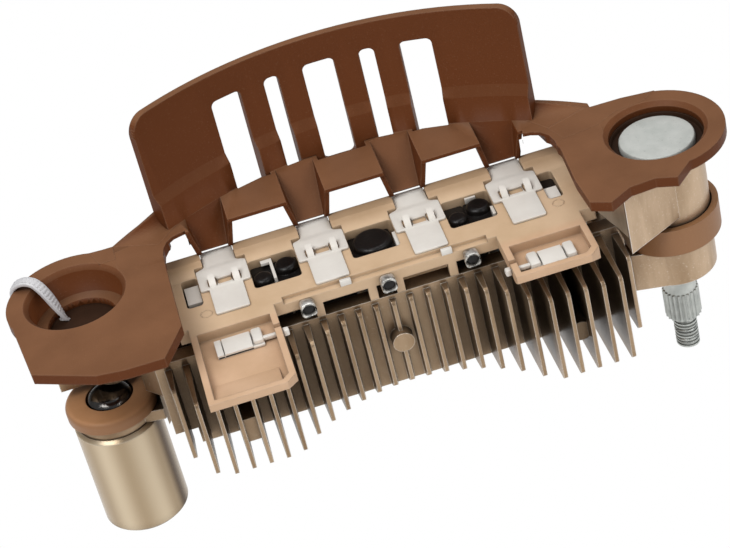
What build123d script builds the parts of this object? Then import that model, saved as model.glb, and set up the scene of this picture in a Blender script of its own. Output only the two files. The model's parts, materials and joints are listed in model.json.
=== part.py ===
from build123d import *
from math import cos, radians, sin, sqrt
import os

os.makedirs("parts", exist_ok=True)

# The rectifier sits in the rear housing of an alternator. Its origin is the seat of the
# spacer sleeve, on the mounting axis. +Z runs along that axis, away from the housing wall,
# +X towards the terminal stud, and +Y away from the rotor shaft. All sizes are in mm.

# Axes in plan
shaft_x = 58.5
shaft_y = -43.75
stud_x = 116.8
stud_y = -3.15

# Heights of the stack, from the sleeve's seat
sleeve_length = 24.5
sleeve_radius = 8.75
sleeve_bore_radius = 2.6
sleeve_bore_depth = 18.0
sleeve_chamfer = 0.7
lug_ring_radius = 7.8
lug_ring_thickness = 2.5
washer_thickness = 2.6
washer_radius = 9.3
washer_bore_radius = 4.9
washer_bore_depth = 1.5
washer_round = 1.1
rivet_shank_radius = 2.5
rivet_head_height = 2.6
rivet_grip = 8.0
running_clearance = 0.05
overlap = 0.4
air_gap = 1.2

# Finned positive heatsink
fin_count = 27
fin_pitch = 3.5
fin_drop = 5.6
fin_height = 20.2
fin_root = 1.5
fin_tip = 0.8
fin_nose = 1.1
left_end_reach = 6.7
right_end_reach = 8.8
end_fin_drop = 1.5
rotor_clearance_radius = 32.6
left_lobe_reach = 13.2
right_lobe_reach = 15.0
base_inset = 34.0
base_thickness = 3.5
base_lip = 0.9
base_left_margin = 2.5
base_right_margin = 1.6
base_step_width = 4.6
base_step_height = 3.8
stud_lug_radius = 8.6
stud_web_height = 12.4
stud_web_left = 104.9
ear_lug_gap = 2.1
ear_lug_height = 13.0
ear_arm_height = 6.3
ear_lug_flat = 2.5
ear_column_x = 2.3
ear_column_y = 4.4
ear_column_radius = 4.4
pad_radius = 2.2
pad_height = 11.0
pad_reach = 3.0
deep_pad_height = 8.2
deep_pad_reach = 12.4
web_height = 9.0

# Rear heatsink
cavity_width = 14.4
rear_plate_thickness = 3.8
rear_plate_drop = 4.0
rear_left = 12.6
rear_right = 105.4
rear_rib_count = 13
rear_rib_pitch = 7.0
rear_rib_reach = 5.0
rear_rib_thickness = 1.6
lower_boss_drop = 2.0
lower_boss_height = 8.7
lower_boss_radius = 8.3

# Terminal block
slab_gap = 3.1
slab_thickness = 3.0
rail_rise = 1.5
rail_depth = 5.8
rail_crest = 2.6
block_left_margin = 11.5
block_right_margin = 12.5
end_window_left = 8.5
end_window_right = 8.3
block_depth = 21.8
terminal_pitch = 20.0
window_depth = 9.4
window_side = 5.2
socket_wall = 1.3
socket_floor = 1.0
socket_corner = 2.0
ramp_rise = 1.4
left_tray_inset = 2.0
left_tray_width = 17.1
right_tray_inset = 3.1
right_tray_width = 16.9
end_wall = 1.6
window_corner = 0.8
post_offsets = [-14.0, -3.2, 2.2, 13.0]
post_size = 1.7
ledge_left = -20.5
ledge_right = 20.7
ledge_width = 1.5
ledge_drop = 0.8
riser_depth = 8.0
riser_y = -2.5
flange_left = 11.6
flange_radius = 10.6

# Sheet terminals
sheet = 0.5
loop_wall = 0.8
terminal_play = 0.1
terminal_neck = 6.6
terminal_wing = 10.2
terminal_tongue = 6.8
terminal_slot_width = 2.8
terminal_slot_depth = 1.9
neck_back = 13.4
wing_back = 8.0
wing_slope = 0.7
wing_front = 0.5
tongue_front = -8.0
prong_width = 1.4
prong_root = 1.1
prong_lean = 2.3
prong_height = 1.3
prong_spread = 2.5
loop_offsets = [-16.2, 0, 16.9]
loop_radius = 1.7
loop_length = 2.2
loop_drop = 0.4
clip_length = 9.3
clip_depth = 5.0
clip_flange = 2.2
clip_insets = [8.7, 8.3]
clip_ys = [-16.6, -19.2]
peg_size = 1.2
peg_reach = 1.3

# Cover and its baffle wall
plate_rise = 8.6
plate_thickness = 2.2
flange_thickness = 1.2
ear_radius = 13.6
ear_lap_left = 1.4
ear_lap_right = 2.6
ear_hole_radius = 9.35
ear_hole_chamfer = 0.9
ear_cup_depth = 7.5
ear_cup_floor = 1.5
ear_cup_wall = 1.5
ear_cup_bore = 7.0
plate_margin = 5.8
web_start = 9.0
strip_gap = 4.05
strip_depth = 11.2
wall_inner_radius = 69.0
wall_thickness = 1.6
wall_step = 1.5
wall_half_angle = 34.0
wall_height = 25.4
ledge_height = 7.8
ledge_slope = 1.9
wall_foot = 6.0
wall_corner_radius = 4.0
slot_step_angle = 8.2
slot_head = 5.8
slot_foot = 2.5
wide_slot = 6.5
narrow_slot = 3.1
slot_corner = 1.2
chute_width = 9.9
chute_end_width = 7.4
chute_wall = 1.0
chute_reach = 0.25
band_lap = 4.0
strip_thickness = 0.8
notch_width = 8.6
notch_depth = 6.1
right_notch_width = 5.9
right_notch_depth = 6.4

# Stud, insulators and diodes
stud_head_radius = 7.5
stud_head_height = 1.7
stud_head_chamfer = 0.3
thread_chamfer = 0.5
stud_shank_radius = 3.0
knurl_radius = 3.5
knurl_length = 11.0
thread_radius = 2.5
thread_length = 10.5
cup_outer_radius = 10.2
cup_inner_radius = 8.9
cup_height = 6.0
cup_floor = 1.8
bush_wall = 1.1
diode_radius = 4.1
diode_rise = 8.1
shoulder_sink = 1.8
window_play = 0.1
# Per diode: nearest terminal, offset from it, boss offset, boss Y, radius and depth in the window, and
# the shoulder that fills the window round the boss, left and right of the diode
positive_diodes = [
    (0, 7.3, 0, 0.8, 1.95, 0.3, -2.0, 2.0),
    (1, 0.5, 0, 0, 0, 0, 0, 0),
    (2, 7.3, 0, 0.9, 1.95, 0.3, -2.0, 2.0),
    (3, 6.1, 0.7, -1.2, 1.3, 1.8, -0.8, 2.1),
]
negative_diodes = [
    (0, -6.7, -0.2, 3.4, 1.3, 1.8, -1.7, 1.4),
    (1, -6.9, -0.7, 3.0, 2.35, 0.3, -3.1, 1.6),
    (1, 9.9, 0, 2.1, 3.9, 0.3, -4.6, 4.0),
    (3, -7.9, -0.1, 3.0, 2.4, 0.3, -2.7, 1.9),
]
diode_flat = 2.2
diode_round = 0.8
diode_drop = 1.0
# Per strip: nearest terminal, left and right from it, front, back, depth of bottom and top in the window
lead_blades = [
    [(0, -8.2, -5.3, -0.8, 5.0, 1.7, 0.9)],
    [(0, 9.35, 9.95, -0.8, 5.0, 4.0, 0.5), (0, 7.7, 9.95, 5.0, 6.1, 1.1, 0.5)],
    [(2, -5.9, -5.2, -2.6, 2.2, 3.5, 0.3)],
    [
        (3, -5.9, -5.3, -1.6, 1.2, 3.5, 0.5),
        (3, -9.9, -7.7, 5.6, 6.1, 1.5, 0.3),
        (3, 5.2, 7.9, -2.2, 1.6, 1.3, 0.6),
    ],
]
tie_width = 2.2
tie_thickness = 1.0
tie_inner = 4.4
tie_outer = 15.4
tie_corner = 1.9
tie_head = 4.4

# Heights and faces worked out from the values above
lug_ring_top = sleeve_length + lug_ring_thickness
washer_top = lug_ring_top + washer_thickness
rivet_seat = washer_top - washer_bore_depth
fin_bottom = sleeve_length - fin_drop
fin_top = fin_bottom + fin_height
base_top = fin_top + base_lip
base_front = shaft_y + base_inset
base_back = base_front + base_thickness
rear_front = base_back + cavity_width
rear_back = rear_front + rear_plate_thickness
rear_plate_bottom = sleeve_length - rear_plate_drop
slab_bottom = base_top + slab_gap
slab_top = slab_bottom + slab_thickness
rail_top = slab_top + rail_rise
slab_front = base_front
slab_back = slab_front + block_depth
rail_front = slab_back - rail_depth
window_front = rail_front - window_depth
terminal_xs = [shaft_x + (n - 1.5) * terminal_pitch for n in range(4)]
block_left = terminal_xs[0] - block_left_margin
block_right = terminal_xs[-1] + block_right_margin
plate_top = slab_top + plate_rise
plate_bottom = plate_top - plate_thickness
stud_lug_top = plate_bottom - flange_thickness
stud_web_bottom = stud_lug_top - stud_web_height
ear_lug_bottom = washer_top + ear_lug_gap
ear_lug_top = plate_top - ear_cup_depth
lower_boss_bottom = sleeve_length - lower_boss_drop
lower_boss_top = lower_boss_bottom + lower_boss_height
stud_lug_bottom = lower_boss_top + cup_floor
knurl_bottom = lower_boss_bottom - knurl_length
diode_bottom = fin_bottom + diode_rise
fin_xs = [shaft_x + (n - (fin_count - 1) / 2) * fin_pitch for n in range(fin_count)]
base_left = fin_xs[0] - base_left_margin
base_right = fin_xs[-1] + base_right_margin

# Outlines in plan; a tray is its left, right, back, front and the run of its ramp
socket_trays = [
    (block_left + left_tray_inset, block_left + left_tray_inset + left_tray_width, -12.2, -34.3, 8.0),
    (block_right - right_tray_inset - right_tray_width, block_right - right_tray_inset, -14.2, -24.4, 2.2),
]
left_notch_start = (block_left + ear_lap_left, 2.2)
right_notch_start = (block_right - ear_lap_right, 0.2)
left_ear_corners = [
    left_notch_start,
    (block_left + ear_lap_left, -19.5),
    (13.9, -27.8),
    (6.3, -27.7),
    (0.8, -26.8),
    (-10.7, -20.7),
    (-12.8, -4.3),
]
right_ear_corners = [
    right_notch_start,
    (block_right - ear_lap_right - 0.6, -11.7),
    (block_right - ear_lap_right - 0.2, -19.9),
    (101.9, -22.0),
    (106.4, -19.1),
    (111.6, -18.7),
    (115.5, -20.4),
    (119.3, -16.4),
    (129.8, -6.3),
]


def fin_front(x):
    """Y of a fin's nose: the rotor's circle in the middle, a straight lobe at each end."""
    reach = left_lobe_reach if x < shaft_x else right_lobe_reach
    lobe = base_front - reach
    offset = abs(x - shaft_x)
    if offset >= rotor_clearance_radius:
        return lobe
    return max(lobe, shaft_y + sqrt(rotor_clearance_radius**2 - offset**2))


def chute_top(x):
    """Y of the top of a chute's floor, which stops at the wall."""
    wall_y = shaft_y + sqrt((wall_inner_radius - wall_step) ** 2 - (x - shaft_x) ** 2)
    return min(strip_back + chute_wall, wall_y)


# Finned positive heatsink, die cast: base wall, 27 drafted fins and two lugs
end_reach = {0: left_end_reach, fin_count - 1: right_end_reach}
with BuildPart() as positive_heatsink:
    for number, x in enumerate(fin_xs):
        nose = base_front - end_reach[number] if number in end_reach else fin_front(x)
        drop = end_fin_drop if number in end_reach or number == 1 else 0
        with BuildSketch(Plane.XY.offset(fin_bottom + drop)):
            Polygon(
                (x - fin_root / 2, base_front + overlap),
                (x + fin_root / 2, base_front + overlap),
                (x + fin_tip / 2, nose),
                (x - fin_tip / 2, nose),
                align=None,
            )
        extrude(amount=fin_height - 1.5 * drop)
    noses = positive_heatsink.edges().filter_by(
        lambda edge: abs(edge.length - fin_tip) < 0.01 and edge.center().Y < base_front)
    fillet(noses, radius=fin_nose)
    with BuildSketch(Plane.XY.offset(fin_bottom)):
        with Locations(((base_left + base_right) / 2, (base_front + base_back) / 2)):
            Rectangle(base_right - base_left, base_thickness)
    extrude(amount=base_top - fin_bottom)
    # Step under the left end of the base wall
    with BuildSketch(Plane.XY.offset(fin_bottom)):
        with Locations((base_left, base_front + base_thickness)):
            Rectangle(2 * base_step_width, 2 * base_thickness)
    extrude(amount=base_step_height, mode=Mode.SUBTRACT)
    # Boss and web that carry the terminal stud
    lug_face = stud_y - stud_lug_radius
    with BuildSketch(Plane.XY.offset(stud_lug_bottom)):
        with Locations((stud_x, stud_y)):
            Circle(stud_lug_radius)
    extrude(amount=stud_lug_top - stud_lug_bottom)
    with BuildSketch(Plane.XY.offset(stud_web_bottom)):
        Polygon(
            (stud_web_left, base_front),
            (stud_web_left, base_front - right_end_reach),
            (stud_x, lug_face),
            (stud_x, stud_y + stud_lug_radius),
            (stud_web_left + 2, base_back + 2),
            (stud_web_left, base_back),
            align=None,
        )
    extrude(amount=stud_lug_top - stud_web_bottom)
    # Lug under the left ear, its arm to the base wall, and the boss below the ear's cup
    with BuildSketch(Plane.XY.offset(ear_lug_bottom)):
        Circle(washer_radius)
        with Locations((0, ear_lug_flat - washer_radius)):
            Rectangle(3 * washer_radius, 2 * washer_radius, mode=Mode.SUBTRACT)
    extrude(amount=ear_lug_height)
    with BuildSketch(Plane.XY.offset(ear_lug_bottom)):
        Polygon(
            (washer_radius - 1.8, ear_lug_flat + 2),
            (washer_radius - 1.8, base_back + 1.2),
            (base_left + 1, base_front),
            (base_left + 1, base_back),
            (base_left + 0.3, ear_lug_flat + 2),
            align=None,
        )
    extrude(amount=ear_arm_height)
    with BuildSketch(Plane.XY.offset(ear_lug_bottom)):
        with Locations((ear_column_x, ear_column_y)):
            Circle(ear_column_radius)
    extrude(amount=ear_lug_top - ear_lug_bottom)
    with Locations((stud_x, stud_y, stud_lug_top)):
        Hole(stud_shank_radius + running_clearance)
    # Ejector pads and the casting web between the fins
    with BuildSketch(Plane.XZ.offset(-base_front - overlap)):
        with Locations((shaft_x, fin_bottom + pad_height)):
            Circle(pad_radius)
    extrude(amount=pad_reach)
    with BuildSketch(Plane.XZ.offset(-base_front - overlap)):
        with Locations((fin_xs[22] + fin_pitch / 2, fin_bottom + deep_pad_height)):
            Circle(pad_radius)
    extrude(amount=deep_pad_reach)
    with BuildSketch(Plane.XZ.offset(-base_front - overlap)):
        with Locations(((fin_xs[3] + fin_xs[4]) / 2, fin_bottom + web_height)):
            Rectangle(fin_pitch, 2.5 * pad_radius)
    extrude(amount=deep_pad_reach)
positive_heatsink.part.label = "positive_heatsink"
export_step(positive_heatsink.part, "parts/positive_heatsink.step")

# Rear heatsink: a wall behind the diodes, ribs at its back, a ring at the left, a boss at the right
with BuildPart() as negative_heatsink:
    with BuildSketch(Plane.XY.offset(rear_plate_bottom)):
        with Locations(((rear_left + rear_right) / 2, (rear_front + rear_back) / 2)):
            Rectangle(rear_right - rear_left, rear_plate_thickness)
        for n in range(rear_rib_count):
            with Locations((rear_left + rear_rib_pitch * (n + 0.5), rear_back + rear_rib_reach / 2)):
                Rectangle(rear_rib_thickness, rear_rib_reach + 2 * overlap)
    extrude(amount=slab_bottom - rear_plate_bottom)
    # Ring clamped between the washer and the sleeve
    with BuildSketch(Plane.XY.offset(sleeve_length)):
        Circle(lug_ring_radius)
        Polygon(
            (5.4, -5.6),
            (base_left - 1, base_front + base_thickness),
            (rear_left + 5, rear_front),
            (rear_left + 5, rear_back),
            (rear_left - 5, rear_back),
            (-2.0, lug_ring_radius - 0.3),
            align=None,
        )
    extrude(amount=lug_ring_thickness)
    # Upright web that stiffens the ring's arm
    with BuildSketch(Plane.XY.offset(rear_plate_bottom + 2)):
        Polygon(
            (washer_radius + overlap, base_back + overlap),
            (rear_left + 5, rear_front),
            (rear_left, rear_front),
            (washer_radius + overlap, 3.0),
            align=None,
        )
    extrude(amount=ear_lug_bottom - 1.5 * air_gap - rear_plate_bottom - 2)
    # Lower boss, which the stud's knurled neck passes through
    with BuildSketch(Plane.XY.offset(lower_boss_bottom)):
        with Locations((stud_x, stud_y)):
            Circle(lower_boss_radius)
        Polygon(
            (stud_x, stud_y - lower_boss_radius),
            (stud_x - lower_boss_radius - 2.0, base_front + 0.8),
            (stud_x - lower_boss_radius - 2.0, base_back + air_gap),
            (rear_right - 3, rear_front),
            (rear_right - 3, rear_back),
            (stud_x, stud_y + lower_boss_radius),
            align=None,
        )
    extrude(amount=lower_boss_height)
    Hole(radius=rivet_shank_radius + running_clearance)
    with Locations((stud_x, stud_y)):
        Hole(radius=knurl_radius + bush_wall)
negative_heatsink.part.label = "negative_heatsink"
export_step(negative_heatsink.part, "parts/negative_heatsink.step")

# Sleeve that spaces the unit off the housing, with a turned mouth
with BuildPart() as spacer_sleeve:
    with BuildSketch(Plane.XY):
        Circle(sleeve_radius)
    extrude(amount=sleeve_length)
    with BuildSketch(Plane.XY):
        Circle(sleeve_bore_radius)
    extrude(amount=sleeve_bore_depth, mode=Mode.SUBTRACT)
    with BuildSketch(Plane.XY.offset(sleeve_length)):
        Circle(rivet_shank_radius + running_clearance)
    extrude(amount=rivet_seat - rivet_grip - sleeve_length, mode=Mode.SUBTRACT)
    rims = spacer_sleeve.edges().filter_by(GeomType.CIRCLE).filter_by(
        lambda edge: edge.radius > sleeve_radius - 0.01)
    chamfer(rims, length=sleeve_chamfer)
spacer_sleeve.part.label = "spacer_sleeve"
export_step(spacer_sleeve.part, "parts/spacer_sleeve.step")

# Moulded washer that insulates the rivet's head
with BuildPart() as washer_insulator:
    with BuildSketch(Plane.XY.offset(lug_ring_top)):
        Circle(washer_radius)
    extrude(amount=washer_thickness)
    fillet(washer_insulator.edges().group_by(Axis.Z)[-1], radius=washer_round)
    with Locations((0, 0, washer_top)):
        CounterBoreHole(rivet_shank_radius + running_clearance, washer_bore_radius, washer_bore_depth)
washer_insulator.part.label = "washer_insulator"
export_step(washer_insulator.part, "parts/washer_insulator.step")

# Tubular rivet that clamps ring, washer and sleeve
with BuildPart() as clamp_rivet:
    with BuildSketch(Plane.XY.offset(rivet_seat - rivet_grip)):
        Circle(rivet_shank_radius)
    extrude(amount=rivet_grip)
    with BuildSketch(Plane.XY.offset(rivet_seat)):
        Circle(washer_bore_radius - running_clearance)
    extrude(amount=rivet_head_height)
    fillet(clamp_rivet.edges().group_by(Axis.Z)[-1], radius=rivet_head_height * 0.9)
clamp_rivet.part.label = "clamp_rivet"
export_step(clamp_rivet.part, "parts/clamp_rivet.step")

# Terminal stud: flat head, shank, knurled neck and a plain cylinder for the thread
with BuildPart() as terminal_stud:
    with BuildSketch(Plane.XY.offset(knurl_bottom - thread_length)):
        with Locations((stud_x, stud_y)):
            Circle(thread_radius)
    extrude(amount=thread_length)
    chamfer(terminal_stud.edges().group_by(Axis.Z)[0], length=thread_chamfer)
    with BuildSketch(Plane.XY.offset(knurl_bottom)):
        with Locations((stud_x, stud_y)):
            Circle(knurl_radius)
    extrude(amount=knurl_length)
    with BuildSketch(Plane.XY.offset(lower_boss_bottom)):
        with Locations((stud_x, stud_y)):
            Circle(stud_shank_radius)
    extrude(amount=stud_lug_top - lower_boss_bottom)
    with BuildSketch(Plane.XY.offset(stud_lug_top)):
        with Locations((stud_x, stud_y)):
            Circle(stud_head_radius)
    extrude(amount=stud_head_height)
    chamfer(terminal_stud.edges().group_by(Axis.Z)[-1], length=stud_head_chamfer)
terminal_stud.part.label = "terminal_stud"
export_step(terminal_stud.part, "parts/terminal_stud.step")

# Insulating bush round the neck, inside the lower boss
with BuildPart() as stud_bush:
    with BuildSketch(Plane.XY.offset(lower_boss_bottom)):
        with Locations((stud_x, stud_y)):
            Circle(knurl_radius + bush_wall - running_clearance)
            Circle(stud_shank_radius + running_clearance, mode=Mode.SUBTRACT)
    extrude(amount=lower_boss_height)
stud_bush.part.label = "stud_bush"
export_step(stud_bush.part, "parts/stud_bush.step")

# Insulating cup between the lower boss and the upper one, open towards the heatsinks
with BuildPart() as stud_insulator:
    with BuildSketch(Plane.XY.offset(lower_boss_top)):
        with Locations((stud_x, stud_y)):
            Circle(cup_outer_radius)
            Circle(stud_shank_radius + running_clearance, mode=Mode.SUBTRACT)
    extrude(amount=cup_height)
    with BuildSketch(Plane.XY.offset(lower_boss_top + cup_floor)):
        with Locations((stud_x, stud_y)):
            Circle(cup_inner_radius)
        Polygon(
            (stud_x, stud_y),
            (stud_x - 2 * cup_outer_radius, stud_y - 1.55 * cup_outer_radius),
            (stud_x - 2 * cup_outer_radius, stud_y + 3 * cup_outer_radius),
            (stud_x - 0.4 * cup_outer_radius, stud_y + 3 * cup_outer_radius),
            align=None,
        )
    extrude(amount=cup_height, mode=Mode.SUBTRACT)
stud_insulator.part.label = "stud_insulator"
export_step(stud_insulator.part, "parts/stud_insulator.step")

# Terminal block: slab with windows over the diodes, a rail at its back and two trays at the front
window_spans = [(terminal_xs[0] - end_window_left, terminal_xs[0] - window_side)]
window_spans += [(x + window_side, x + terminal_pitch - window_side) for x in terminal_xs[:3]]
window_spans += [(terminal_xs[3] + window_side, terminal_xs[3] + end_window_right)]
with BuildPart() as terminal_block:
    with BuildSketch(Plane.XY.offset(slab_bottom)):
        with Locations(((block_left + block_right) / 2, (slab_front + slab_back) / 2)):
            Rectangle(block_right - block_left, block_depth)
        for left, right in window_spans:
            with Locations(((left + right) / 2, window_front + window_depth / 2)):
                RectangleRounded(right - left, window_depth, window_corner, mode=Mode.SUBTRACT)
    extrude(amount=slab_thickness)
    # Rail with a sloped front, interrupted where the terminal necks lie
    with BuildSketch(Plane.YZ.offset(block_left)):
        Polygon(
            (rail_front, slab_top),
            (slab_back, slab_top),
            (slab_back, rail_top),
            (slab_back - rail_crest, rail_top),
            align=None,
        )
    extrude(amount=block_right - block_left)
    with BuildSketch(Plane.XY.offset(slab_top)):
        for x in terminal_xs:
            with Locations((x, slab_back)):
                Rectangle(terminal_neck + 2 * terminal_play, 3 * rail_depth)
            with Locations((x, (wing_front + wing_back) / 2)):
                Rectangle(terminal_wing + 2 * terminal_play, wing_back - wing_front + 2 * terminal_play)
    extrude(amount=rail_rise, mode=Mode.SUBTRACT)
    # Lower step along the front edge
    with BuildSketch(Plane.XY.offset(slab_top - ledge_drop)):
        with Locations((shaft_x + (ledge_left + ledge_right) / 2, slab_front + ledge_width / 2)):
            Rectangle(ledge_right - ledge_left, ledge_width)
    extrude(amount=ledge_drop, mode=Mode.SUBTRACT)
    # Trays for the plug-in leads, each with a slot for the clip's peg
    for left, right, back, front, ramp_run in socket_trays:
        with BuildSketch(Plane.XY.offset(slab_bottom)):
            Polygon(
                (left, base_front + 1),
                (left, front),
                (right - socket_corner, front),
                (right, front + socket_corner),
                (right, base_front + 1),
                align=None,
            )
        extrude(amount=slab_thickness)
        with BuildSketch(Plane.XY.offset(slab_bottom + socket_floor)):
            Polygon(
                (left + socket_wall, back),
                (left + socket_wall, front + socket_wall),
                (right - socket_corner - socket_wall / 2, front + socket_wall),
                (right - socket_wall, front + socket_wall / 2 + socket_corner),
                (right - socket_wall, back),
                align=None,
            )
        extrude(amount=slab_thickness, mode=Mode.SUBTRACT)
        # Floor that ramps up to the front wall, above a raked underside
        with BuildSketch(Plane.YZ.offset(left + socket_wall / 2)):
            Polygon(
                (front + ramp_run, slab_bottom + socket_floor - running_clearance),
                (front + socket_wall / 2, slab_bottom + socket_floor - running_clearance),
                (front + socket_wall / 2, slab_bottom + socket_floor + ramp_rise),
                align=None,
            )
        extrude(amount=right - left - socket_wall - socket_corner)
        with BuildSketch(Plane.YZ.offset(left - 1)):
            Polygon(
                (front + ramp_run, slab_bottom - 1),
                (front - 1, slab_bottom - 1),
                (front - 1, slab_bottom + ramp_rise),
                (front, slab_bottom + ramp_rise),
                (front + ramp_run, slab_bottom),
                align=None,
            )
        extrude(amount=right - left + 2, mode=Mode.SUBTRACT)
    for tray, y in zip(socket_trays, clip_ys):
        wall_x = tray[1] - socket_wall / 2 if tray[1] < shaft_x else tray[0] + socket_wall / 2
        with BuildSketch(Plane.XY.offset(slab_top - peg_size)):
            with Locations((wall_x, y)):
                Rectangle(socket_wall + 2 * running_clearance, peg_size)
        extrude(amount=peg_size, mode=Mode.SUBTRACT)
    # Posts that stand on the base wall between the lead loops
    with BuildSketch(Plane.XY.offset(base_top)):
        for offset in post_offsets:
            with Locations((shaft_x + offset, base_front + post_size / 2)):
                Rectangle(post_size, post_size)
    extrude(amount=slab_bottom - base_top)
    # Risers and flanges at both ends, under the cover's ears
    with BuildSketch(Plane.XY.offset(slab_bottom)):
        with Locations((block_left - end_wall / 2, riser_y), (block_right + end_wall / 2, riser_y)):
            Rectangle(end_wall, riser_depth)
    extrude(amount=plate_bottom - slab_bottom)
    with BuildSketch(Plane.XY.offset(plate_bottom - flange_thickness)):
        with Locations(((flange_left + block_left) / 2, riser_y)):
            Rectangle(block_left - flange_left, riser_depth)
        with Locations((stud_x, stud_y)):
            Circle(flange_radius)
        with Locations(((stud_x + block_right) / 2, riser_y)):
            Rectangle(stud_x - block_right, riser_depth)
        Circle(ear_hole_radius + ear_cup_wall + running_clearance, mode=Mode.SUBTRACT)
        with Locations((stud_x, stud_y)):
            Circle(ear_hole_radius + running_clearance, mode=Mode.SUBTRACT)
    extrude(amount=flange_thickness)
terminal_block.part.label = "terminal_block"
export_step(terminal_block.part, "parts/terminal_block.step")

# Baffle wall round the rotor, with its ledge; the profile is radius against height
plate_back_radius = wall_inner_radius + plate_margin
wall_top = plate_top + wall_height
ledge_top = plate_top + ledge_height
wall_bottom = plate_top - wall_foot
slot_top = wall_top - slot_head
slot_bottom = wall_bottom + slot_foot
chute_bottom = rail_top + running_clearance
chute_end = slab_back + chute_reach
strip_back = shaft_y + wall_inner_radius - strip_gap
strip_front = strip_back - strip_depth
strip_left = terminal_xs[0] + chute_width / 2
strip_right = terminal_xs[-1] - chute_width / 2
upper_inner = wall_inner_radius
upper_outer = wall_inner_radius + wall_thickness
wall_start = radians(90 - wall_half_angle)
wall_plane = Plane(
    origin=(shaft_x, shaft_y, 0),
    x_dir=(cos(wall_start), sin(wall_start), 0),
    z_dir=(sin(wall_start), -cos(wall_start), 0),
)
with BuildPart() as cover_baffle:
    # Thin plate inside the wall: the strip with its two bands to the ears
    with BuildSketch(Plane.XY.offset(plate_top - strip_thickness)):
        with Locations((shaft_x, (strip_front + strip_back) / 2)):
            Rectangle(strip_right - strip_left, strip_back - strip_front)
        # Band to the left ear, with a rounded notch beside the first chute
        notch_x, notch_y = left_notch_start
        Polygon(
            (notch_x - band_lap, notch_y),
            (strip_left - chute_width, notch_y),
            (strip_left - chute_width, strip_front),
            (strip_left + overlap, strip_front),
            (strip_left + overlap, strip_back),
            (notch_x - band_lap, strip_back),
            align=None,
        )
        with Locations((notch_x + notch_width / 2, notch_y)):
            Ellipse(notch_width / 2, notch_depth, mode=Mode.SUBTRACT)
        # Band to the right ear, with a slanted notch beside the last chute
        notch_x, notch_y = right_notch_start
        Polygon(
            (notch_x + band_lap, notch_y),
            (notch_x, notch_y),
            (notch_x - right_notch_width / 6, notch_y + right_notch_depth / 2),
            (notch_x - right_notch_width, notch_y + right_notch_depth),
            (strip_right + chute_width, strip_front),
            (strip_right - overlap, strip_front),
            (strip_right - overlap, strip_back),
            (notch_x + band_lap, strip_back),
            align=None,
        )
    extrude(amount=strip_thickness)
    # Chutes that lead the stator wires down to the terminals: outer form, then channel
    for shell, mode in ((chute_wall, Mode.ADD), (0, Mode.SUBTRACT)):
        for x in terminal_xs:
            left = x - chute_width / 2 + chute_wall - shell
            right = x + chute_width / 2 - chute_wall + shell
            with BuildSketch(Plane.XY.offset(chute_bottom)):
                with Locations((x, chute_end - chute_wall / 2 + shell / 2)):
                    Rectangle(chute_end_width - 2 * chute_wall + 2 * shell, chute_wall + shell)
            with BuildSketch(Plane.XY.offset(plate_top)):
                Polygon(
                    (left, strip_front - chute_wall + shell),
                    (right, strip_front - chute_wall + shell),
                    (right, chute_top(right) + shell),
                    (left, chute_top(left) + shell),
                    align=None,
                )
            loft(ruled=True, mode=mode)
    with BuildSketch(Plane.XY.offset(chute_bottom)):
        with Locations((shaft_x, shaft_y)):
            Circle(wall_inner_radius - wall_step + overlap)
    extrude(amount=2 * ear_cup_depth, mode=Mode.INTERSECT)
    # Wall
    with BuildSketch(wall_plane):
        Polygon(
            (upper_inner - wall_step, wall_bottom),
            (upper_outer, wall_bottom),
            (upper_outer, wall_top),
            (upper_inner, wall_top),
            (upper_inner, ledge_top),
            (upper_inner - wall_step, ledge_top - ledge_slope),
            align=None,
        )
    revolve(axis=Axis((shaft_x, shaft_y, 0), (0, 0, 1)), revolution_arc=2 * wall_half_angle)
    corners = cover_baffle.edges().filter_by(
        lambda edge: abs(edge.length - wall_thickness) < 0.01 and edge.center().Z > wall_top - 0.01)
    fillet(corners, radius=wall_corner_radius)
    # Five slots, wide and narrow in turn
    for n in range(-2, 3):
        angle = radians(90 - n * slot_step_angle)
        width = narrow_slot if n % 2 else wide_slot
        slot_plane = Plane(
            origin=(shaft_x, shaft_y, (slot_top + slot_bottom) / 2),
            x_dir=(sin(angle), -cos(angle), 0),
            z_dir=(cos(angle), sin(angle), 0),
        )
        with BuildSketch(slot_plane.offset(wall_inner_radius - wall_step - overlap)):
            RectangleRounded(width, slot_top - slot_bottom, slot_corner)
        extrude(amount=3 * wall_step, mode=Mode.SUBTRACT)
    # Webs from the ears to the wall, with a round back edge
    web_side = wall_inner_radius * sin(radians(wall_half_angle))
    with BuildSketch(Plane.XY.offset(plate_bottom)):
        for side, corner, ear_x, ear_y in (
            (-1, left_notch_start, 0, 0),
            (1, right_notch_start, stud_x, stud_y),
        ):
            Polygon(
                (ear_x - side * web_start, ear_y),
                corner,
                (corner[0] - side * band_lap / 2, strip_front),
                (shaft_x + side * web_side, strip_front),
                (shaft_x + side * web_side, shaft_y + plate_back_radius),
                (ear_x - side * web_start, shaft_y + plate_back_radius),
                align=None,
            )
        with Locations((shaft_x, shaft_y)):
            Circle(plate_back_radius, mode=Mode.INTERSECT)
    extrude(amount=plate_thickness)
    # Ear plates
    with BuildSketch(Plane.XY.offset(plate_bottom)):
        Polygon(*left_ear_corners, (0, 0), align=None)
        Polygon(*right_ear_corners, (stud_x, stud_y), align=None)
        Circle(ear_radius)
        with Locations((stud_x, stud_y)):
            Circle(ear_radius)
    extrude(amount=plate_thickness)
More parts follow.
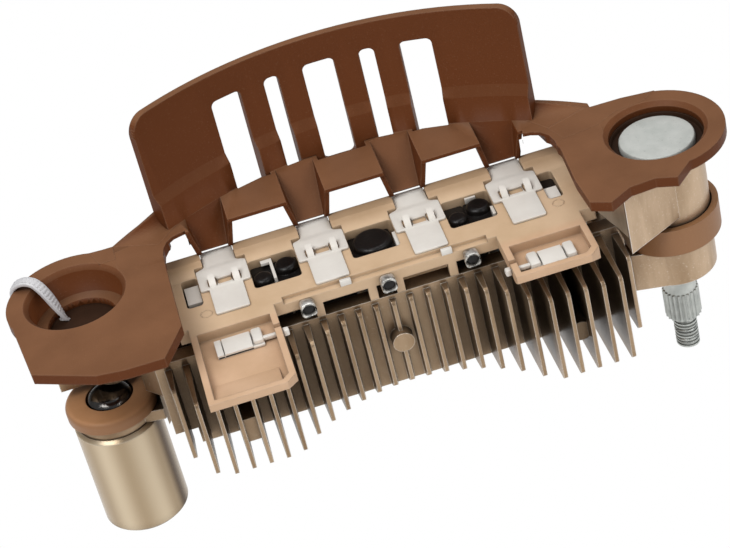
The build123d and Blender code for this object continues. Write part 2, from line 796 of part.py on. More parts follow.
    # Cup under the left ear
    with BuildSketch(Plane.XY.offset(plate_top - ear_cup_depth)):
        Circle(ear_hole_radius + ear_cup_wall)
    extrude(amount=ear_cup_depth)
    with BuildSketch(Plane.XY.offset(plate_top - ear_cup_depth + ear_cup_floor)):
        Circle(ear_hole_radius)
    extrude(amount=ear_cup_depth, mode=Mode.SUBTRACT)
    with Locations((0, 0, plate_top)):
        Hole(ear_cup_bore)
    with Locations((stud_x, stud_y, plate_top)):
        Hole(ear_hole_radius)
    rims = cover_baffle.edges().filter_by(GeomType.CIRCLE).filter_by(
        lambda edge: abs(edge.radius - ear_hole_radius) < 0.01 and edge.center().Z > plate_top - 0.01)
    chamfer(rims, length=ear_hole_chamfer)
cover_baffle.part.label = "cover_baffle"
export_step(cover_baffle.part, "parts/cover_baffle.step")

# Tinned terminals on the slab: neck, wings with two lanced prongs, tongue
for number, x in enumerate(terminal_xs, start=1):
    with BuildPart() as stator_terminal:
        with BuildSketch(Plane.XY.offset(slab_top)):
            Polygon(
                (x - terminal_neck / 2, neck_back), (x + terminal_neck / 2, neck_back),
                (x + terminal_neck / 2, wing_back), (x + terminal_wing / 2, wing_back - wing_slope),
                (x + terminal_wing / 2, wing_front), (x + terminal_tongue / 2, wing_front),
                (x + terminal_tongue / 2, tongue_front), (x - terminal_tongue / 2, tongue_front),
                (x - terminal_tongue / 2, wing_front), (x - terminal_wing / 2, wing_front),
                (x - terminal_wing / 2, wing_back - wing_slope), (x - terminal_neck / 2, wing_back),
                align=None,
            )
            with Locations((x, wing_front + terminal_slot_depth)):
                Rectangle(terminal_slot_width, terminal_slot_depth, mode=Mode.SUBTRACT)
        extrude(amount=sheet)
        # Prongs, lanced out of the sheet and bent up
        for side in (-1, 1):
            with BuildSketch(Plane.YZ.offset(x + side * prong_spread - prong_width / 2)):
                Polygon(
                    (prong_root, slab_top + sheet - running_clearance),
                    (prong_root + 1.5 * sheet, slab_top + sheet - running_clearance),
                    (prong_root + prong_lean + sheet, slab_top + sheet + prong_height - sheet / 2),
                    (prong_root + prong_lean, slab_top + sheet + prong_height),
                    align=None,
                )
            extrude(amount=prong_width)
    stator_terminal.part.label = f"stator_terminal_{number}"
    export_step(stator_terminal.part, f"parts/stator_terminal_{number}.step")

# Diodes: moulded D-section bodies between the two heatsinks, with tops that rise into the windows
diode_rows = {
    "positive": (base_back + diode_flat, positive_diodes),
    "negative": (rear_front - diode_flat, negative_diodes),
}
for row, (centre_y, places) in diode_rows.items():
    cut_side = -1 if row == "positive" else 1
    for number, place in enumerate(places, start=1):
        terminal, offset, boss_offset, boss_y, boss_radius, boss_depth, left, right = place
        x = terminal_xs[terminal] + offset
        with BuildPart() as diode:
            with BuildSketch(Plane.XY.offset(diode_bottom)):
                with Locations((x, centre_y)):
                    Circle(diode_radius)
                with Locations((x, centre_y + cut_side * (diode_flat + diode_radius))):
                    Rectangle(3 * diode_radius, 2 * diode_radius, mode=Mode.SUBTRACT)
            extrude(amount=slab_bottom - diode_drop - diode_bottom)
            if boss_radius > 0:
                with BuildSketch(Plane.XY.offset(slab_bottom - 2 * diode_drop)):
                    with Locations((x + boss_offset, boss_y)):
                        Circle(boss_radius)
                extrude(amount=slab_thickness + 2 * diode_drop - boss_depth)
            fillet(diode.edges().group_by(Axis.Z)[-1], radius=diode_round)
            if boss_radius > 0:
                with BuildSketch(Plane.XY.offset(slab_bottom)):
                    with Locations((x + (left + right) / 2, window_front + window_depth / 2)):
                        RectangleRounded(
                            right - left, window_depth - 2 * window_play, window_corner - window_play)
                extrude(amount=slab_thickness - shoulder_sink)
        diode.part.label = f"{row}_diode_{number}"
        export_step(diode.part, f"parts/{row}_diode_{number}.step")

# Tinned lead strips that show in the windows beside the diodes
for number, blades in enumerate(lead_blades, start=1):
    with BuildPart() as diode_leads:
        for terminal, left, right, front, back, bottom, top in blades:
            with BuildSketch(Plane.XY.offset(slab_top - bottom)):
                with Locations((terminal_xs[terminal] + (left + right) / 2, (front + back) / 2)):
                    Rectangle(right - left, back - front)
            extrude(amount=bottom - top)
    diode_leads.part.label = f"diode_leads_{number}"
    export_step(diode_leads.part, f"parts/diode_leads_{number}.step")

# Rolled lead ends that stand out at the slab's front edge
for number, offset in enumerate(loop_offsets, start=1):
    with BuildPart() as lead_loop:
        with BuildSketch(Plane.XZ.offset(-base_front)):
            with Locations((shaft_x + offset, slab_bottom + loop_drop)):
                Circle(loop_radius)
                Circle(loop_radius - loop_wall, mode=Mode.SUBTRACT)
        extrude(amount=loop_length)
    lead_loop.part.label = f"lead_loop_{number}"
    export_step(lead_loop.part, f"parts/lead_loop_{number}.step")

# Folded clips in the trays, each held by a peg through the tray's wall
for side, tray, inset, y in zip(("left", "right"), socket_trays, clip_insets, clip_ys):
    x = tray[0] + inset
    peg_end = tray[1] + peg_reach if side == "left" else tray[0] - peg_reach
    peg_start = x + clip_length / 2 if side == "left" else x - clip_length / 2
    with BuildPart() as socket_clip:
        with BuildSketch(Plane.XY.offset(slab_bottom + socket_floor)):
            with Locations((x, y)):
                Rectangle(clip_length, clip_depth)
        extrude(amount=sheet)
        with BuildSketch(Plane.XY.offset(slab_bottom + socket_floor)):
            with Locations((x, y - clip_depth / 2), (x, y + clip_depth / 2)):
                Rectangle(clip_length, sheet)
        extrude(amount=clip_flange)
        with BuildSketch(Plane.XY.offset(slab_top - peg_size)):
            with Locations(((peg_start + peg_end) / 2, y)):
                Rectangle(abs(peg_end - peg_start), peg_size)
        extrude(amount=peg_size)
        with BuildSketch(Plane.XY.offset(slab_bottom + socket_floor)):
            with Locations((peg_start, y)):
                Rectangle(sheet, clip_depth)
        extrude(amount=clip_flange)
    socket_clip.part.label = f"socket_clip_{side}"
    export_step(socket_clip.part, f"parts/socket_clip_{side}.step")

# Cable tie looped over the rim of the left ear
tie_bottom = plate_top - ear_cup_depth - 2 * tie_thickness
tie_plane = Plane(origin=(0, 0, 0), x_dir=(-0.8, 0.6, 0), z_dir=(0.6, 0.8, 0))
with BuildPart() as cable_tie:
    with BuildSketch(tie_plane.offset(-tie_width / 2)):
        with Locations(((tie_inner + tie_outer) / 2, (plate_top + tie_thickness + tie_bottom) / 2)):
            RectangleRounded(tie_outer - tie_inner, plate_top + tie_thickness - tie_bottom, tie_corner)
            RectangleRounded(
                tie_outer - tie_inner - 2 * tie_thickness,
                plate_top - tie_thickness - tie_bottom,
                tie_corner - tie_thickness,
                mode=Mode.SUBTRACT,
            )
    extrude(amount=tie_width)
    with BuildSketch(tie_plane.offset(-tie_head / 2)):
        with Locations((tie_outer - tie_corner / 2 - tie_head / 2, tie_bottom - tie_head / 2 + overlap)):
            Rectangle(tie_head, tie_head)
    extrude(amount=tie_head)
cable_tie.part.label = "cable_tie"
export_step(cable_tie.part, "parts/cable_tie.step")
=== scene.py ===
import json
import math

import bmesh
import bpy
from mathutils import Matrix, Vector


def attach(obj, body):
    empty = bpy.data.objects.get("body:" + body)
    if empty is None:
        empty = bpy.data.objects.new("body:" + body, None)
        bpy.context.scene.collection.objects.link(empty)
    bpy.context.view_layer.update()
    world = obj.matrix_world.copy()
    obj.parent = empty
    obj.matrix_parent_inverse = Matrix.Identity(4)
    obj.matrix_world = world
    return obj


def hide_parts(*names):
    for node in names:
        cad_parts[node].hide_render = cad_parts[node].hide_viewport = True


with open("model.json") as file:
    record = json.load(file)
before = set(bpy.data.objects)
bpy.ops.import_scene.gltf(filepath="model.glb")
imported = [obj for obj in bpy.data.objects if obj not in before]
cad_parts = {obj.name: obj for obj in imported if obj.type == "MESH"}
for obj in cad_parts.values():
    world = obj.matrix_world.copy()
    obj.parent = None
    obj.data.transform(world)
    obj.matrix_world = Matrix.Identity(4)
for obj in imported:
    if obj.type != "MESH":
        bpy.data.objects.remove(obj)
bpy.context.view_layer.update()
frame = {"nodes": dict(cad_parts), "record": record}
nodes = frame["nodes"]
scene = bpy.context.scene


# Shader helpers

socketKinds = {float: "NodeSocketFloat", int: "NodeSocketInt", tuple: "NodeSocketVector"}


# Input sockets of a tree, each of the kind of its value
def addInputs(tree, inputs):
    for label, value in inputs.items():
        tree.interface.new_socket(label, in_out="INPUT", socket_type=socketKinds[type(value)]).default_value = value


# Shader node group with the given input values and kinds of output
def newTree(name, inputs, outputs):
    tree = bpy.data.node_groups.new(name, "ShaderNodeTree")
    addInputs(tree, inputs)
    for label, kind in outputs.items():
        tree.interface.new_socket(label, in_out="OUTPUT", socket_type=socketKinds[kind])
    return tree, tree.nodes.new("NodeGroupInput"), tree.nodes.new("NodeGroupOutput")


# Node with its properties and its input values set
def addNode(tree, kind, settings=None, values=None):
    node = tree.nodes.new(kind)
    for key, value in (settings or {}).items():
        setattr(node, key, value)
    for key, value in (values or {}).items():
        node.inputs[key].default_value = value
    return node


# Link from one node's output to another node's input
def wire(source, output, target, entry):
    source.id_data.links.new(source.outputs[output], target.inputs[entry])


# Rounded normal and a mask of sharp edges, from the Bevel node; the mask lightens edges for wear and as painted
# highlight
def makeEdgeGroup():
    tree, start, end = newTree("edgeWearAndHighlight", {"Radius": 0.0003}, {"Mask": float, "Normal": tuple})
    bevel = addNode(tree, "ShaderNodeBevel", {"samples": 4})
    geometry = addNode(tree, "ShaderNodeNewGeometry")
    dot = addNode(tree, "ShaderNodeVectorMath", {"operation": "DOT_PRODUCT"})
    span = addNode(tree, "ShaderNodeMapRange", None, {"From Min": 0.995, "From Max": 0.86})
    wire(start, "Radius", bevel, "Radius")
    wire(bevel, "Normal", dot, 0)
    wire(geometry, "Normal", dot, 1)
    wire(dot, "Value", span, "Value")
    wire(span, "Result", end, "Mask")
    wire(bevel, "Normal", end, "Normal")
    return tree


# Fine moulded or cast grain: a bumped normal, a fine speckle and broad blotches
def makeGrainGroup():
    tree, start, end = newTree(
        "grain",
        {"Scale": 2500.0, "Blotch Scale": 90.0, "Stretch": (1.0, 1.0, 1.0), "Bump": 0.15, "Normal": (0.0, 0.0, 0.0)},
        {"Speckle": float, "Blotch": float, "Normal": tuple})
    coords = addNode(tree, "ShaderNodeTexCoord")
    stretch = addNode(tree, "ShaderNodeVectorMath", {"operation": "MULTIPLY"})
    fine = addNode(tree, "ShaderNodeTexNoise", None, {"Detail": 3.0, "Roughness": 0.6})
    broad = addNode(tree, "ShaderNodeTexNoise", None, {"Detail": 4.0, "Roughness": 0.55})
    bump = addNode(tree, "ShaderNodeBump", None, {"Distance": 0.0002})
    wire(coords, "Object", fine, "Vector")
    wire(coords, "Object", stretch, 0)
    wire(start, "Stretch", stretch, 1)
    wire(stretch, "Vector", broad, "Vector")
    wire(start, "Scale", fine, "Scale")
    wire(start, "Blotch Scale", broad, "Scale")
    wire(start, "Bump", bump, "Strength")
    wire(fine, "Fac", bump, "Height")
    wire(start, "Normal", bump, "Normal")
    wire(fine, "Fac", end, "Speckle")
    wire(broad, "Fac", end, "Blotch")
    wire(bump, "Normal", end, "Normal")
    return tree


# Mask of the faces that look up; the others take a painted shade
def makeFacingGroup():
    tree, start, end = newTree("facingUp", {"Low": 0.55, "High": 0.9}, {"Mask": float})
    geometry = addNode(tree, "ShaderNodeNewGeometry")
    parts = addNode(tree, "ShaderNodeSeparateXYZ")
    span = addNode(tree, "ShaderNodeMapRange")
    wire(geometry, "True Normal", parts, "Vector")
    wire(parts, "Z", span, "Value")
    wire(start, "Low", span, "From Min")
    wire(start, "High", span, "From Max")
    wire(span, "Result", end, "Mask")
    return tree


# Mask that rises from start to end along an axis of the object
def makeZoneGroup():
    tree, start, end = newTree("zone", {"Axis": (1.0, 0.0, 0.0), "Start": 0.0, "End": 1.0}, {"Mask": float})
    coords = addNode(tree, "ShaderNodeTexCoord")
    dot = addNode(tree, "ShaderNodeVectorMath", {"operation": "DOT_PRODUCT"})
    span = addNode(tree, "ShaderNodeMapRange")
    wire(coords, "Object", dot, 0)
    wire(start, "Axis", dot, 1)
    wire(dot, "Value", span, "Value")
    wire(start, "Start", span, "From Min")
    wire(start, "End", span, "From Max")
    wire(span, "Result", end, "Mask")
    return tree


# Painted shade: a mask that is 1 in the open and falls to 1 - depth in crevices, from ambient occlusion
def makeCreviceShadeGroup():
    tree, start, end = newTree("paintedCreviceShade", {"Reach": 0.004, "Depth": 0.5}, {"Openness": float})
    hollow = addNode(tree, "ShaderNodeAmbientOcclusion", {"samples": 4})
    least = addNode(tree, "ShaderNodeMath", {"operation": "SUBTRACT"}, {0: 1.0})
    span = addNode(tree, "ShaderNodeMapRange", None, {"From Min": 0.15, "From Max": 0.85})
    wire(start, "Reach", hollow, "Distance")
    wire(start, "Depth", least, 1)
    wire(hollow, "AO", span, "Value")
    wire(least, "Value", span, "To Min")
    wire(span, "Result", end, "Openness")
    return tree


groups = {"edge": makeEdgeGroup(), "grain": makeGrainGroup(), "facing": makeFacingGroup(), "zone": makeZoneGroup(),
          "creviceShade": makeCreviceShadeGroup()}


# One of the groups, placed in a material
def addGroup(tree, kind, values=None):
    return addNode(tree, "ShaderNodeGroup", {"node_tree": groups[kind]}, values)


# A Mix node's two colour inputs and its colour output
firstColor, secondColor, mixedColor = 6, 7, 2


# Mix of two colours by a mask; each colour is a fixed tuple or a socket
def blendColors(tree, label, mask, first, second, mode="MIX"):
    mix = addNode(tree, "ShaderNodeMix", {"data_type": "RGBA", "blend_type": mode, "name": label})
    tree.links.new(mask, mix.inputs["Factor"])
    for slot, color in ((firstColor, first), (secondColor, second)):
        if isinstance(color, tuple):
            mix.inputs[slot].default_value = color + (1,)
        else:
            tree.links.new(color, mix.inputs[slot])
    return mix.outputs[mixedColor]


# Values a look has where it gives none of its own
# shade, reach and deep set the painted shade in crevices: its strength, its reach and its colour
usualLook = {"metallic": 0.0, "specular": 0.5, "edgeRadius": 0.0003, "wearAndHighlight": 0.5, "speckle": 0.3, "grainScale": 2500.0,
             "blotchScale": 90.0, "bump": 0.15, "stretch": (1.0, 1.0, 1.0), "zones": (), "shade": 0.5, "reach": 0.004,
             "deep": (0.01, 0.005, 0.003), "roughSpread": 0.06}


# Principled material: blotched colour, painted shade on the side faces, speckle, edges lighter for wear and as painted
# highlight, zones (some painted shade or painted light), painted shade in crevices, and grain
def makeSurface(name, ownLook):
    look = {**usualLook, **ownLook}
    material = bpy.data.materials.new(name)
    material.use_nodes = True
    tree = material.node_tree
    shader = tree.nodes["Principled BSDF"]
    shader.inputs["Metallic"].default_value = look["metallic"]
    shader.inputs["Specular IOR Level"].default_value = look["specular"]
    edge = addGroup(tree, "edge", {"Radius": look["edgeRadius"]})
    grain = addGroup(tree, "grain", {"Scale": look["grainScale"], "Blotch Scale": look["blotchScale"],
                                     "Bump": look["bump"], "Stretch": look["stretch"]})
    wire(edge, "Normal", grain, "Normal")
    wire(grain, "Normal", shader, "Normal")
    blotch = addNode(tree, "ShaderNodeMapRange", None, {"From Min": 0.35, "From Max": 0.65})
    wire(grain, "Blotch", blotch, "Value")
    color = blendColors(tree, "base", blotch.outputs["Result"], look["dark"], look["light"])
    # Painted shade: faces that don't look up take the darker side colour
    if "side" in look:
        facing = addGroup(tree, "facing")
        color = blendColors(tree, "side", facing.outputs["Mask"], look["side"], color)
    speck = addNode(tree, "ShaderNodeMapRange", None, {"From Min": 0.6, "From Max": 0.75, "To Max": look["speckle"]})
    wire(grain, "Speckle", speck, "Value")
    color = blendColors(tree, "speckle", speck.outputs["Result"], color, look["edge"])
    # Edges take the edge colour: partly wear, partly painted highlight
    wornAndLit = addNode(tree, "ShaderNodeMath", {"operation": "MULTIPLY"}, {1: look["wearAndHighlight"]})
    wire(edge, "Mask", wornAndLit, 0)
    color = blendColors(tree, "wearAndHighlight", wornAndLit.outputs["Value"], color, look["edge"])
    for axis, start, end, tint in look["zones"]:
        zone = addGroup(tree, "zone", {"Axis": axis, "Start": start, "End": end})
        color = blendColors(tree, "zone", zone.outputs["Mask"], color, tint, "MULTIPLY")
    # Painted shade: the colour falls toward the deep colour in crevices, corners and between parts
    if look["shade"] > 0:
        creviceShade = addGroup(tree, "creviceShade", {"Reach": look["reach"], "Depth": look["shade"]})
        color = blendColors(tree, "creviceShade", creviceShade.outputs["Openness"], look["deep"], color)
    tree.links.new(color, shader.inputs["Base Color"])
    rough = addNode(tree, "ShaderNodeMapRange", None, {"To Min": look["roughness"] - look["roughSpread"],
                                                       "To Max": look["roughness"] + look["roughSpread"]})
    wire(grain, "Blotch", rough, "Value")
    wire(rough, "Result", shader, "Roughness")
    return material


# In the looks, side is the painted shade of faces that don't look up, and edge colours the speckle and the edges, which
# are lighter for wear and as painted highlight
looks = {
    "coverPlastic": {"dark": (0.195, 0.086, 0.040), "light": (0.232, 0.104, 0.049), "edge": (0.36, 0.20, 0.12),
                     "side": (0.135, 0.040, 0.012), "roughness": 0.46, "specular": 0.10, "wearAndHighlight": 0.45,
                     "speckle": 0.20, "grainScale": 3000.0, "bump": 0.12, "edgeRadius": 0.0004, "shade": 0.6},
    "blockPlastic": {"dark": (0.650, 0.450, 0.275), "light": (0.750, 0.535, 0.345), "edge": (0.80, 0.62, 0.44),
                     "zones": [((0, 1, 0), -0.0115, -0.0135, (1.0, 0.93, 0.92)),  # trays
                               ((0, 0, 1), 0.0464, 0.0472, (0.80, 0.76, 0.72))],  # rail, painted shade
                     "roughness": 0.48, "specular": 0.3, "wearAndHighlight": 0.5, "speckle": 0.15, "bump": 0.08,
                     "edgeRadius": 0.0004, "shade": 0.55},
    "insulatorPlastic": {"dark": (0.470, 0.235, 0.105), "light": (0.550, 0.285, 0.138), "edge": (0.55, 0.35, 0.22),
                         "side": (0.36, 0.180, 0.086), "roughness": 0.42, "specular": 0.25, "wearAndHighlight": 0.4,
                         "speckle": 0.2, "bump": 0.08, "shade": 0.6},
    "castMetal": {"dark": (0.290, 0.190, 0.108), "light": (0.460, 0.325, 0.205), "edge": (0.88, 0.80, 0.68),
                  "zones": [((1, 0, 0), 0.1000, 0.1050, (1.35, 1.40, 1.50))],  # lug and boss of the stud, painted lighter: painted light
                  "roughness": 0.34, "metallic": 0.7,
                  "specular": 0.25, "wearAndHighlight": 1.0, "speckle": 0.25, "bump": 0.15, "blotchScale": 160.0,
                  "stretch": (1.0, 1.0, 0.25), "edgeRadius": 0.00028, "shade": 0.94, "reach": 0.0052,
                  "deep": (0.016, 0.008, 0.004)},
    # Lighter copy of the cast metal for the web under the right ear: painted light
    "webMetalPaintedLit": {"dark": (0.56, 0.44, 0.31), "light": (0.78, 0.65, 0.50), "edge": (0.88, 0.80, 0.68),
                 "roughness": 0.36, "metallic": 0.4, "specular": 0.25, "wearAndHighlight": 0.5, "speckle": 0.25, "bump": 0.15,
                 "blotchScale": 300.0, "stretch": (1.0, 1.0, 0.25), "edgeRadius": 0.00028, "shade": 0.35},
    "tinnedSheet": {"dark": (0.80, 0.75, 0.68), "light": (0.90, 0.86, 0.79), "edge": (0.93, 0.91, 0.87),
                    "roughness": 0.5, "metallic": 0.1, "wearAndHighlight": 0.3, "speckle": 0.2, "bump": 0.06,
                    "edgeRadius": 0.00012, "shade": 0.75, "reach": 0.0012, "deep": (0.10, 0.07, 0.05)},
    "zincPlate": {"dark": (0.50, 0.52, 0.49), "light": (0.68, 0.70, 0.66), "edge": (0.80, 0.80, 0.78),
                  "roughness": 0.36, "metallic": 0.5, "specular": 0.4, "wearAndHighlight": 0.4, "speckle": 0.3, "bump": 0.08,
                  "blotchScale": 400.0, "edgeRadius": 0.00015, "shade": 0.9, "reach": 0.0012,
                  "deep": (0.05, 0.05, 0.045)},
    "headFace": {"dark": (0.56, 0.58, 0.54), "light": (0.66, 0.67, 0.63), "edge": (0.22, 0.22, 0.21),
                 "roughness": 0.42, "metallic": 0.2, "specular": 0.3, "wearAndHighlight": 0.0, "speckle": 0.35, "bump": 0.06,
                 "grainScale": 1400.0, "blotchScale": 350.0, "shade": 0.3},
    "rivetSteel": {"dark": (0.06, 0.055, 0.05), "light": (0.20, 0.19, 0.18), "edge": (0.6, 0.58, 0.55),
                   "roughness": 0.18, "metallic": 1.0, "wearAndHighlight": 0.3, "speckle": 0.3, "bump": 0.3, "grainScale": 900.0,
                   "shade": 0.8},
    "rivetRim": {"dark": (0.45, 0.36, 0.24), "light": (0.62, 0.52, 0.38), "edge": (0.9, 0.85, 0.75),
                 "roughness": 0.25, "metallic": 0.9, "wearAndHighlight": 0.5, "speckle": 0.1, "bump": 0.05},
    "diodeResin": {"dark": (0.004, 0.003, 0.003), "light": (0.012, 0.010, 0.009), "edge": (0.035, 0.03, 0.028),
                   "roughness": 0.32, "specular": 0.3, "wearAndHighlight": 0.4, "speckle": 0.3, "bump": 0.2, "shade": 0.0},
    "whiteNylon": {"dark": (0.62, 0.61, 0.62), "light": (0.76, 0.75, 0.76), "edge": (0.92, 0.92, 0.92),
                   "roughness": 0.35, "wearAndHighlight": 0.5, "speckle": 0.05, "bump": 0.03, "edgeRadius": 0.00012,
                   "shade": 0.6, "reach": 0.001, "deep": (0.22, 0.20, 0.20)},
    "leadTin": {"dark": (0.25, 0.23, 0.20), "light": (0.85, 0.83, 0.78), "edge": (0.95, 0.94, 0.9),
                "roughness": 0.25, "metallic": 0.6, "wearAndHighlight": 0.6, "speckle": 0.5, "bump": 0.4, "grainScale": 500.0,
                "blotchScale": 700.0, "shade": 0.6, "reach": 0.0008, "deep": (0.05, 0.04, 0.03)},
    "innerShade": {"dark": (0.030, 0.013, 0.006), "light": (0.050, 0.022, 0.011), "edge": (0.10, 0.05, 0.03),
                   "roughness": 0.55, "specular": 0.15, "wearAndHighlight": 0.3, "speckle": 0.2, "bump": 0.1, "shade": 0.5},
}
materials = {name: makeSurface(name, look) for name, look in looks.items()}


# Plated sleeve: painted reflection bands, soft vertical streaks of light and dark set by the angle round its axis
sleeve = {
    "reflectionBandColors": {"base": (0.47, 0.355, 0.225), "bright": (0.72, 0.585, 0.41), "deep": (0.11, 0.065, 0.03)},
    "reflectionBandAngles": {"base": (-179, -142, -94, -45, -8, 38, 80, 144, 179), "bright": (-119, -66, 15, 100, 160),
                     "deep": (-30, 62, 128)},
    "look": {"dark": (0.47, 0.355, 0.225), "light": (0.47, 0.355, 0.225), "edge": (0.88, 0.80, 0.66),
             "roughness": 0.24, "metallic": 0.5, "specular": 0.25, "wearAndHighlight": 0.7, "speckle": 0.06, "bump": 0.03,
             "edgeRadius": 0.0005, "shade": 0.9, "reach": 0.003},
}


# Sleeve's material, with the painted reflection bands in place of its plain base colour
def makeSleeveSurface():
    material = makeSurface("sleevePlate", sleeve["look"])
    tree = material.node_tree
    coords = addNode(tree, "ShaderNodeTexCoord")
    parts = addNode(tree, "ShaderNodeSeparateXYZ")
    wire(coords, "Object", parts, "Vector")
    angle = addNode(tree, "ShaderNodeMath", {"operation": "ARCTAN2"})
    wire(parts, "Y", angle, 0)
    wire(parts, "X", angle, 1)
    turn = addNode(tree, "ShaderNodeMapRange", None, {"From Min": -math.pi, "From Max": math.pi})
    wire(angle, "Value", turn, "Value")
    ramp = addNode(tree, "ShaderNodeValToRGB")
    ramp.color_ramp.interpolation = "EASE"
    stops = [(degrees, shade) for shade, angles in sleeve["reflectionBandAngles"].items() for degrees in angles]
    while len(ramp.color_ramp.elements) < len(stops):
        ramp.color_ramp.elements.new(0.5)
    for element, (degrees, shade) in zip(ramp.color_ramp.elements, sorted(stops)):
        element.position = (degrees + 180) / 360
        element.color = sleeve["reflectionBandColors"][shade] + (1,)
    wire(turn, "Result", ramp, "Fac")
    for slot in (firstColor, secondColor):
        wire(ramp, "Color", tree.nodes["base"], slot)
    return material


materials["sleevePlate"] = makeSleeveSurface()
slotLooks = {
    "cover": "coverPlastic", "block": "blockPlastic", "insulator": "insulatorPlastic", "heatsink": "castMetal",
    "tinned_sheet": "tinnedSheet", "stud": "zincPlate", "sleeve": "sleevePlate", "rivet": "rivetSteel",
    "diode": "diodeResin", "nylon": "whiteNylon",
}
slotOfNode = {row["node"]: row["material_slot"] for row in frame["record"]["subparts"]}
for name, node in nodes.items():
    node.data.materials.clear()
    node.data.materials.append(materials[slotLooks[slotOfNode[name]]])
print("stage: materials")


# Mesh helpers

# New object in the scene
def newObject(name, data):
    made = bpy.data.objects.new(name, data)
    scene.collection.objects.link(made)
    return made


# Mesh of an object with its modifiers applied
def appliedMesh(holder):
    bpy.context.view_layer.update()
    return bpy.data.meshes.new_from_object(holder.evaluated_get(bpy.context.evaluated_depsgraph_get()))


# Object on the fixed body, with its finish; it may stand for a CAD node
def addPiece(name, mesh, look, replaced=None, crease=35):
    piece = newObject(name, mesh)
    if not mesh.materials:
        mesh.materials.append(materials[look])
    mesh.polygons.foreach_set("use_smooth", [True] * len(mesh.polygons))
    mesh.set_sharp_from_angle(angle=math.radians(crease))
    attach(piece, "root")
    if replaced:
        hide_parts(replaced)
    return piece


# Millimetres to metres
def mm(*values):
    return Vector([value / 1000 for value in values])


# Bmesh with its doubles merged and its faces outwards, as a mesh
def finishMesh(name, form):
    bmesh.ops.remove_doubles(form, verts=form.verts, dist=1e-7)
    bmesh.ops.recalc_face_normals(form, faces=form.faces)
    mesh = bpy.data.meshes.new(name)
    form.to_mesh(mesh)
    form.free()
    return mesh


# Profile of radius and height turned round an upright axis
def spinProfile(name, profile, centre, segments=72):
    form = bmesh.new()
    rings = []
    for radius, height in profile:
        count = segments if radius > 1e-6 else 1
        rings.append([form.verts.new((centre[0] + radius * math.cos(2 * math.pi * n / segments),
                                      centre[1] + radius * math.sin(2 * math.pi * n / segments), height))
                      for n in range(count)])
    for low, high in zip(rings, rings[1:]):
        for n in range(segments):
            after = (n + 1) % segments
            corners = [low[n % len(low)], low[after % len(low)], high[after % len(high)], high[n % len(high)]]
            form.faces.new(list(dict.fromkeys(corners)))
    return finishMesh(name, form)


# Closed outline with its corners rounded, each by no more than a share of its sides
def roundCorners(points, radius, steps=4, share=0.45):
    outline = []
    for n, point in enumerate(points):
        corner = Vector(point)
        before = Vector(points[n - 1]) - corner
        after = Vector(points[(n + 1) % len(points)]) - corner
        start = corner + before.normalized() * min(radius, share * before.length)
        end = corner + after.normalized() * min(radius, share * after.length)
        for k in range(steps + 1):
            past = k / steps
            outline.append((1 - past) ** 2 * start + 2 * past * (1 - past) * corner + past ** 2 * end)
    return outline


# Flat sheet with holes and softened edges, laid by a matrix
def cutSheet(name, outlines, thickness, softness, place):
    curve = bpy.data.curves.new(name, "CURVE")
    curve.dimensions = "2D"
    curve.fill_mode = "BOTH"
    curve.extrude = thickness / 2 - softness
    curve.bevel_depth = softness
    curve.bevel_resolution = 1
    curve.offset = -softness
    for outline in outlines:
        spline = curve.splines.new("POLY")
        spline.points.add(len(outline) - 1)
        for point, spot in zip(spline.points, outline):
            point.co = (spot[0], spot[1], 0, 1)
        spline.use_cyclic_u = True
    holder = newObject(name, curve)
    mesh = appliedMesh(holder)
    bpy.data.objects.remove(holder)
    bpy.data.curves.remove(curve)
    mesh.transform(place)
    form = bmesh.new()
    form.from_mesh(mesh)
    bpy.data.meshes.remove(mesh)
    return finishMesh(name, form)


# Upright prism over an outline, all in millimetres
def prism(name, outline, low, high):
    form = bmesh.new()
    rings = [[form.verts.new(mm(x, y, z)) for x, y in outline] for z in (low, high)]
    for n in range(len(outline)):
        after = (n + 1) % len(outline)
        form.faces.new((rings[0][n], rings[0][after], rings[1][after], rings[1][n]))
    form.faces.new(rings[0])
    form.faces.new(rings[1])
    return finishMesh(name, form)


# Box with its edges rounded
def softBox(name, low, high, radius, place=Matrix()):
    form = bmesh.new()
    bmesh.ops.create_cube(form, size=1.0)
    for vert in form.verts:
        vert.co = place @ Vector([(a + b) / 2 + c * (b - a) for a, b, c in zip(low, high, vert.co)])
    bmesh.ops.bevel(form, geom=form.edges[:], offset=radius, segments=2, profile=0.5, affect="EDGES")
    return finishMesh(name, form)


# Several meshes as one
def joinMeshes(name, meshes):
    form = bmesh.new()
    for mesh in meshes:
        form.from_mesh(mesh)
        bpy.data.meshes.remove(mesh)
    mesh = bpy.data.meshes.new(name)
    form.to_mesh(mesh)
    form.free()
    return mesh


# Strip of even width and thickness along points in an upright plane, its long edges softened
def bendStrip(name, points, across, width, thickness, softness=0.22, sharp=1.0):
    form = bmesh.new()
    across = Vector(across).normalized()
    rows = []
    for n, point in enumerate(points):
        ahead = (Vector(points[min(n + 1, len(points) - 1)]) - Vector(points[max(n - 1, 0)])).normalized()
        lift = ahead.cross(across).normalized() * thickness / 2
        side = across * width / 2
        spot = Vector(point)
        rows.append([form.verts.new(spot + a * side + b * lift) for a, b in ((-1, -1), (1, -1), (1, 1), (-1, 1))])
    for first, second in zip(rows, rows[1:]):
        for n in range(4):
            after = (n + 1) % 4
            form.faces.new((first[n], first[after], second[after], second[n]))
    form.faces.new(rows[0])
    form.faces.new(rows[-1])
    long = [edge for edge in form.edges if len(edge.link_faces) == 2 and edge.calc_face_angle(0) > sharp]
    bmesh.ops.bevel(form, geom=long, offset=thickness * softness, segments=2, profile=0.5, affect="EDGES")
    return finishMesh(name, form)


# Geometry Nodes helpers

